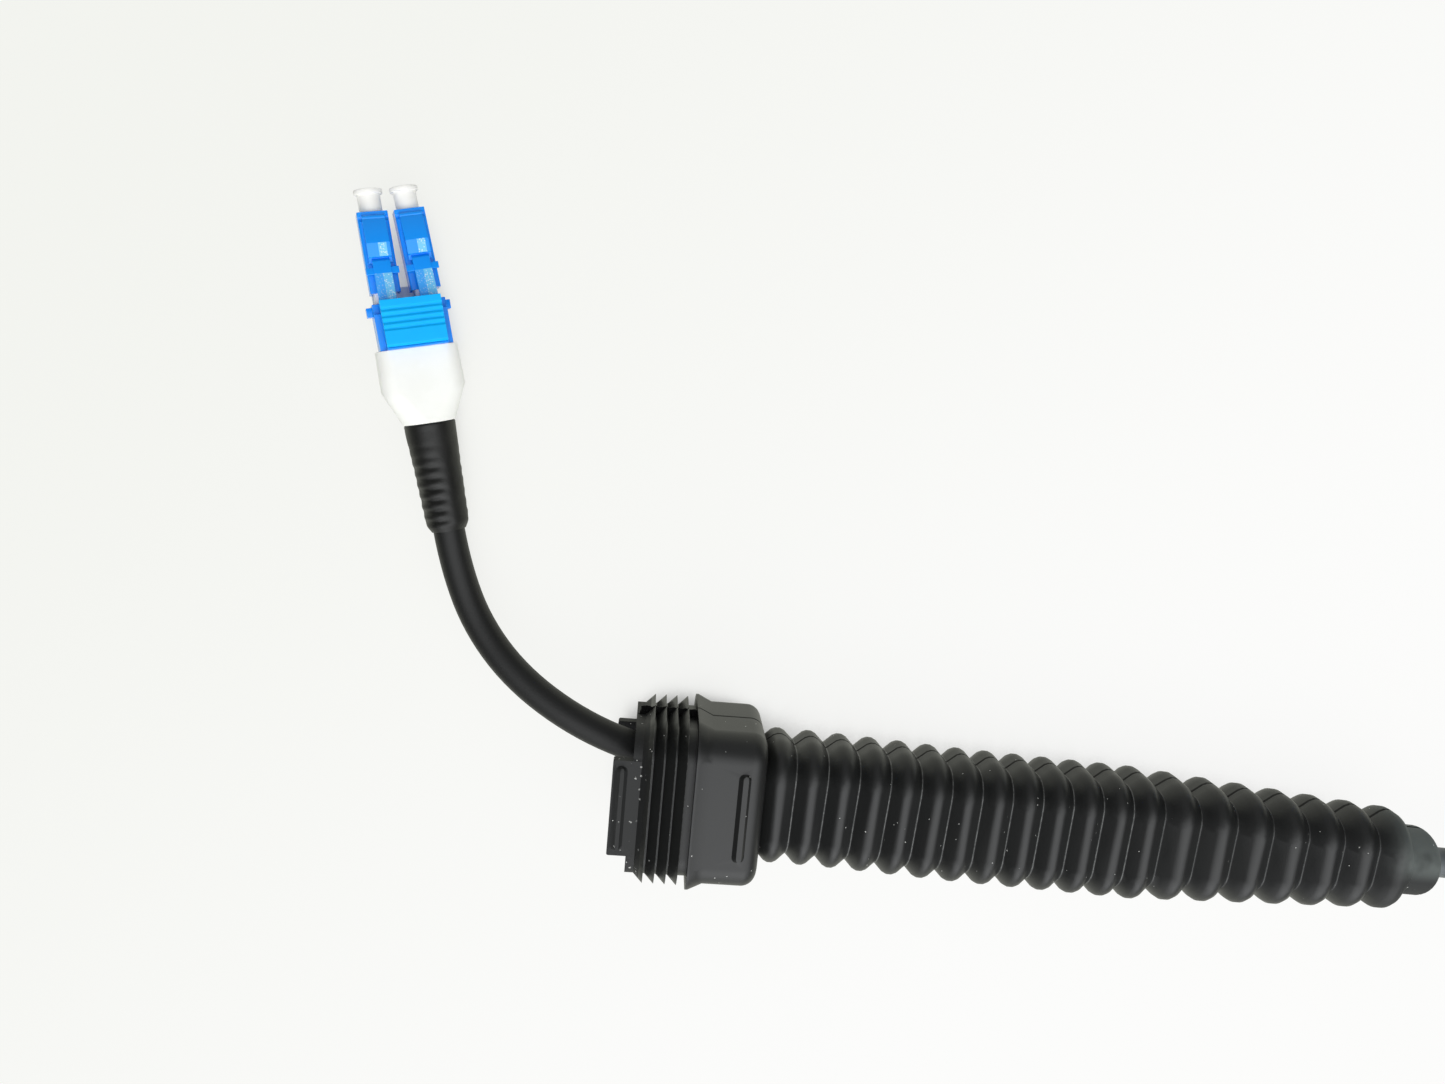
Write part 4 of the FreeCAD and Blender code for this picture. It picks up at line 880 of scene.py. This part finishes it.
# inner pieces keep their CAD shape and get their own finish
innerFinish = {
    "ceramic": ["ferrule_1", "ferrule_2", "far_ferrule_1", "far_ferrule_2"],
    "springSteel": ["ferrule_spring_1", "ferrule_spring_2", "ferrule_holder_1", "ferrule_holder_2"],
    "crimpMetal": ["crimp_ring"],
    "capWhite": ["rear_body_1", "rear_body_2"],
    "bufferYellow": ["fibre_1", "fibre_2"],
    "sleeveBlack": ["strain_relief"],
    "cableJacket": ["cable_entry", "cable_core"],
}
for finish, nodes in innerFinish.items():
    for node in nodes:
        setMaterial(frame["nodes"][node], materials[finish])
print("inner pieces finished")


# cable: the lead from plug to boot, and the tail wound up beside the boot, in mm
cable = {
    "diameter": 5.0,
    "plugEnd": (-75.268, -1.009, 5.449),
    "leadRoute": [(-73.715, -6.804, 5.449), (-69.22, -16.095, 6.1), (-61.72, -23.695, 8.0),
                  (-51.22, -29.495, 9.8), (-39.82, -32.695, 11.0), (-27.92, -34.395, 11.6),
                  (-14.672, *bootAxis), (-3.572, *bootAxis)],
    "tailStart": 92.578,
    "tailRoute": [(105.0, *bootAxis), (119.928, *bootAxis), (144.0, bootAxis[0], 18.4),
                  (166.0, bootAxis[0], 18.4)],
    "coilCentre": (188.0, -2.54),
    "turnRadii": (35.0, 30.0, 25.0, 20.0),
    "rowHeights": (18.4, 13.4, 8.4, 3.4),
    "lastTurn": 35.0,
    "jog": 0.25,  # share of a turn in which it steps to the next one
    "endRoute": [(166.0, 32.46, 3.4), (160.5, 32.46, 3.4), (154.5, 32.46, 4.2), (149.0, 32.46, 4.2)],
    "pointsPerTurn": 16,
    "lengthSteps": 6,  # steps of the curve between two points
    "roundSteps": 6,
}


def turnPlans(look):
    # (start radius, start height, end radius, end height) of each full turn, row by row from the top
    plans = []
    radii = list(look["turnRadii"])
    place = None
    for row, height in enumerate(look["rowHeights"]):
        order = radii if row % 2 == 0 else radii[::-1]
        for radius in order:
            if place is not None:
                plans.append((*place, radius, height))
            place = (radius, height)
    return plans


def coilPoint(look, turn, radius, height):
    # turn is a share of a full turn, from the side where the tail comes in
    angle = -math.pi / 2 + turn * 2 * math.pi
    centreX, centreY = look["coilCentre"]
    return centreX + radius * math.cos(angle), centreY + radius * math.sin(angle), height


def coilPoints(look):
    # each turn keeps its radius and steps to the next one at its end; half a turn more leads out of the coil
    points = []
    count = look["pointsPerTurn"]
    for startRadius, startHeight, endRadius, endHeight in turnPlans(look):
        for step in range(count):
            turn = step / count
            jog = smoothShare((turn - (1 - look["jog"])) / look["jog"])
            radius = startRadius + (endRadius - startRadius) * jog
            height = startHeight + (endHeight - startHeight) * jog
            points.append(coilPoint(look, turn, radius, height))
    for step in range(count // 2 + 1):
        points.append(coilPoint(look, step / count, look["lastTurn"], look["rowHeights"][-1]))
    return points


def addCable(name, points, look):
    curve = bpy.data.curves.new(name, "CURVE")
    curve.dimensions = "3D"
    spline = curve.splines.new("NURBS")
    spline.points.add(len(points) - 1)
    for point, place in zip(spline.points, points):
        point.co = (*toMetres(place), 1.0)
    spline.order_u = 3
    spline.use_endpoint_u = True
    spline.resolution_u = look["lengthSteps"]
    curve.bevel_depth = look["diameter"] / 2 * mm
    curve.bevel_resolution = look["roundSteps"]
    curve.use_fill_caps = True
    piece = bpy.data.objects.new(name, curve)
    bpy.context.scene.collection.objects.link(piece)
    setMaterial(piece, materials["cableJacket"])
    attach(piece, "cord")
    return piece


lead = addCable("cableLead", [cable["plugEnd"], *cable["leadRoute"]], cable)
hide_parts("cable_lead")

tailStart = (cable["tailStart"], *bootAxis)
tailPoints = [tailStart, *cable["tailRoute"], *coilPoints(cable), *cable["endRoute"]]
tail = addCable("cableTail", tailPoints, cable)
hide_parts("cable_tail", "cable_coil", "cable_end")
onTail = [piece for node, piece in pieces.items() if node.startswith(("far_", "coil_"))]
onTail += [frame["nodes"]["far_ferrule_1"], frame["nodes"]["far_ferrule_2"]]
print("cables laid")


# floor, backdrop and light
studio = {
    "floorSize": 3.0,
    "floorHeight": -0.0002,  # metres, just under the part
    "floorColour": (238, 238, 236),
    "floorRough": 0.9,
    "floorGloss": 0.1,
    "glow": 0.92,  # share of plain white that the camera sees on the floor
    "gapGlow": 0.2,  # the same in tight gaps, where little light gets in
    "gapReach": 0.01,  # metres
    "gapOpen": (0.12, 0.6),  # openness of the floor to the sky, tight and free
    "gapSamples": 8,
    "glowDim": (243, 244, 239),  # far left and top of the picture
    "glowBright": (253, 253, 252),
    "glowLean": 0.8,  # the floor brightens to the right and, by this much of it, to the near side
    "glowEnds": (-0.2, 0.1),  # metres, dim and bright
    "skyColour": (0.97, 0.985, 1.0),
    "skyLow": 0.05,  # strength near the horizon
    "skyHigh": 0.32,  # strength overhead, outside the panel
    "skyEnds": (0.2, 1.0),  # heights where these two are reached
    "panelWay": (0.25, -0.45, 0.86),  # direction of the broad soft panel
    "panelEdge": (0.66, 0.9),  # its soft rim, as cosines of the angle from its middle
    "panelStrength": 2.1,
    "sideWay": (-0.1, 0.95, 0.2),  # low glow from the far side
    "sideEdge": (0.7, 0.98),
    "sideStrength": 0.42,
    "nearWay": (0.0, -0.88, 0.42),  # a smaller light on the near side, half as high
    "nearEdge": (0.86, 0.97),
    "nearStrength": 1.5,
    "glossTint": (0.985, 1.0, 0.9),  # the paper mirrors a little warmer than it looks
}


def addFloor(look):
    deselectAll()
    bpy.ops.mesh.primitive_plane_add(size=look["floorSize"], location=(0, 0, look["floorHeight"]))
    floor = bpy.context.object
    floor.name = "studioFloor"
    material, desk, shader = newMaterial("floorPaper", look["floorRough"], specular=look["floorGloss"])
    shader.inputs["Base Color"].default_value = linear(look["floorColour"])
    place = desk.add("ShaderNodeSeparateXYZ", {"Vector": desk.objectPlace()}).outputs
    slope = desk.maths("SUBTRACT", place["X"], desk.maths("MULTIPLY", place["Y"], look["glowLean"]))
    bright = desk.ramp(slope, *look["glowEnds"])
    bright = desk.mixColour(bright, linear(look["glowDim"]), linear(look["glowBright"]))
    rays = desk.add("ShaderNodeLightPath")
    warm = desk.add("ShaderNodeMix", {0: 1.0}, data_type="RGBA", blend_type="MULTIPLY")
    desk.feed(warm, 6, bright)
    desk.feed(warm, 7, (*look["glossTint"], 1.0))
    bright = desk.mixColour(rays.outputs["Is Glossy Ray"], bright, warm.outputs[2])
    glow = desk.add("ShaderNodeEmission", {"Color": bright, "Strength": 1.0})
    seen = desk.maths("MAXIMUM", rays.outputs["Is Camera Ray"], rays.outputs["Is Glossy Ray"])
    seen = desk.maths("MAXIMUM", seen, rays.outputs["Is Transmission Ray"])
    free = desk.add("ShaderNodeAmbientOcclusion", {"Distance": look["gapReach"]}, samples=look["gapSamples"])
    share = desk.between(desk.ramp(free.outputs["AO"], *look["gapOpen"]), look["gapGlow"], look["glow"])
    blend = desk.add("ShaderNodeMixShader", {0: desk.maths("MULTIPLY", seen, share), 1: shader.outputs[0],
                                             2: glow.outputs[0]})
    output = material.node_tree.nodes["Material Output"]
    desk.feed(output, "Surface", blend.outputs[0])
    setMaterial(floor, material)


def addWorld(look):
    # a dim sky that is darkest round the horizon, with a broad soft panel and two smaller lights on it
    world = bpy.data.worlds.new("studioWorld")
    world.use_nodes = True
    desk = NodeDesk(world.node_tree)
    shade = world.node_tree.nodes["Background"]
    way = desk.add("ShaderNodeTexCoord").outputs["Generated"]
    height = desk.add("ShaderNodeSeparateXYZ", {"Vector": way}).outputs[2]
    total = desk.between(desk.ramp(height, *look["skyEnds"]), look["skyLow"], look["skyHigh"])
    for name in ("panel", "side", "near"):
        middle = Vector(look[name + "Way"]).normalized()
        facing = desk.add("ShaderNodeVectorMath", {0: way, 1: middle}, operation="DOT_PRODUCT")
        spread = desk.ramp(facing.outputs["Value"], *look[name + "Edge"])
        total = desk.maths("ADD", total, desk.maths("MULTIPLY", spread, look[name + "Strength"]))
    shade.inputs["Color"].default_value = (*look["skyColour"], 1.0)
    desk.feed(shade, "Strength", total)
    backdrop = desk.add("ShaderNodeBackground", {"Color": linear(look["glowDim"]), "Strength": 1.0})
    seen = desk.add("ShaderNodeLightPath").outputs["Is Camera Ray"]
    blend = desk.add("ShaderNodeMixShader", {0: seen, 1: shade.outputs[0], 2: backdrop.outputs[0]})
    desk.feed(world.node_tree.nodes["World Output"], "Surface", blend.outputs[0])
    bpy.context.scene.world = world


addFloor(studio)
addWorld(studio)
bpy.context.scene.view_settings.view_transform = "Standard"
print("studio set")
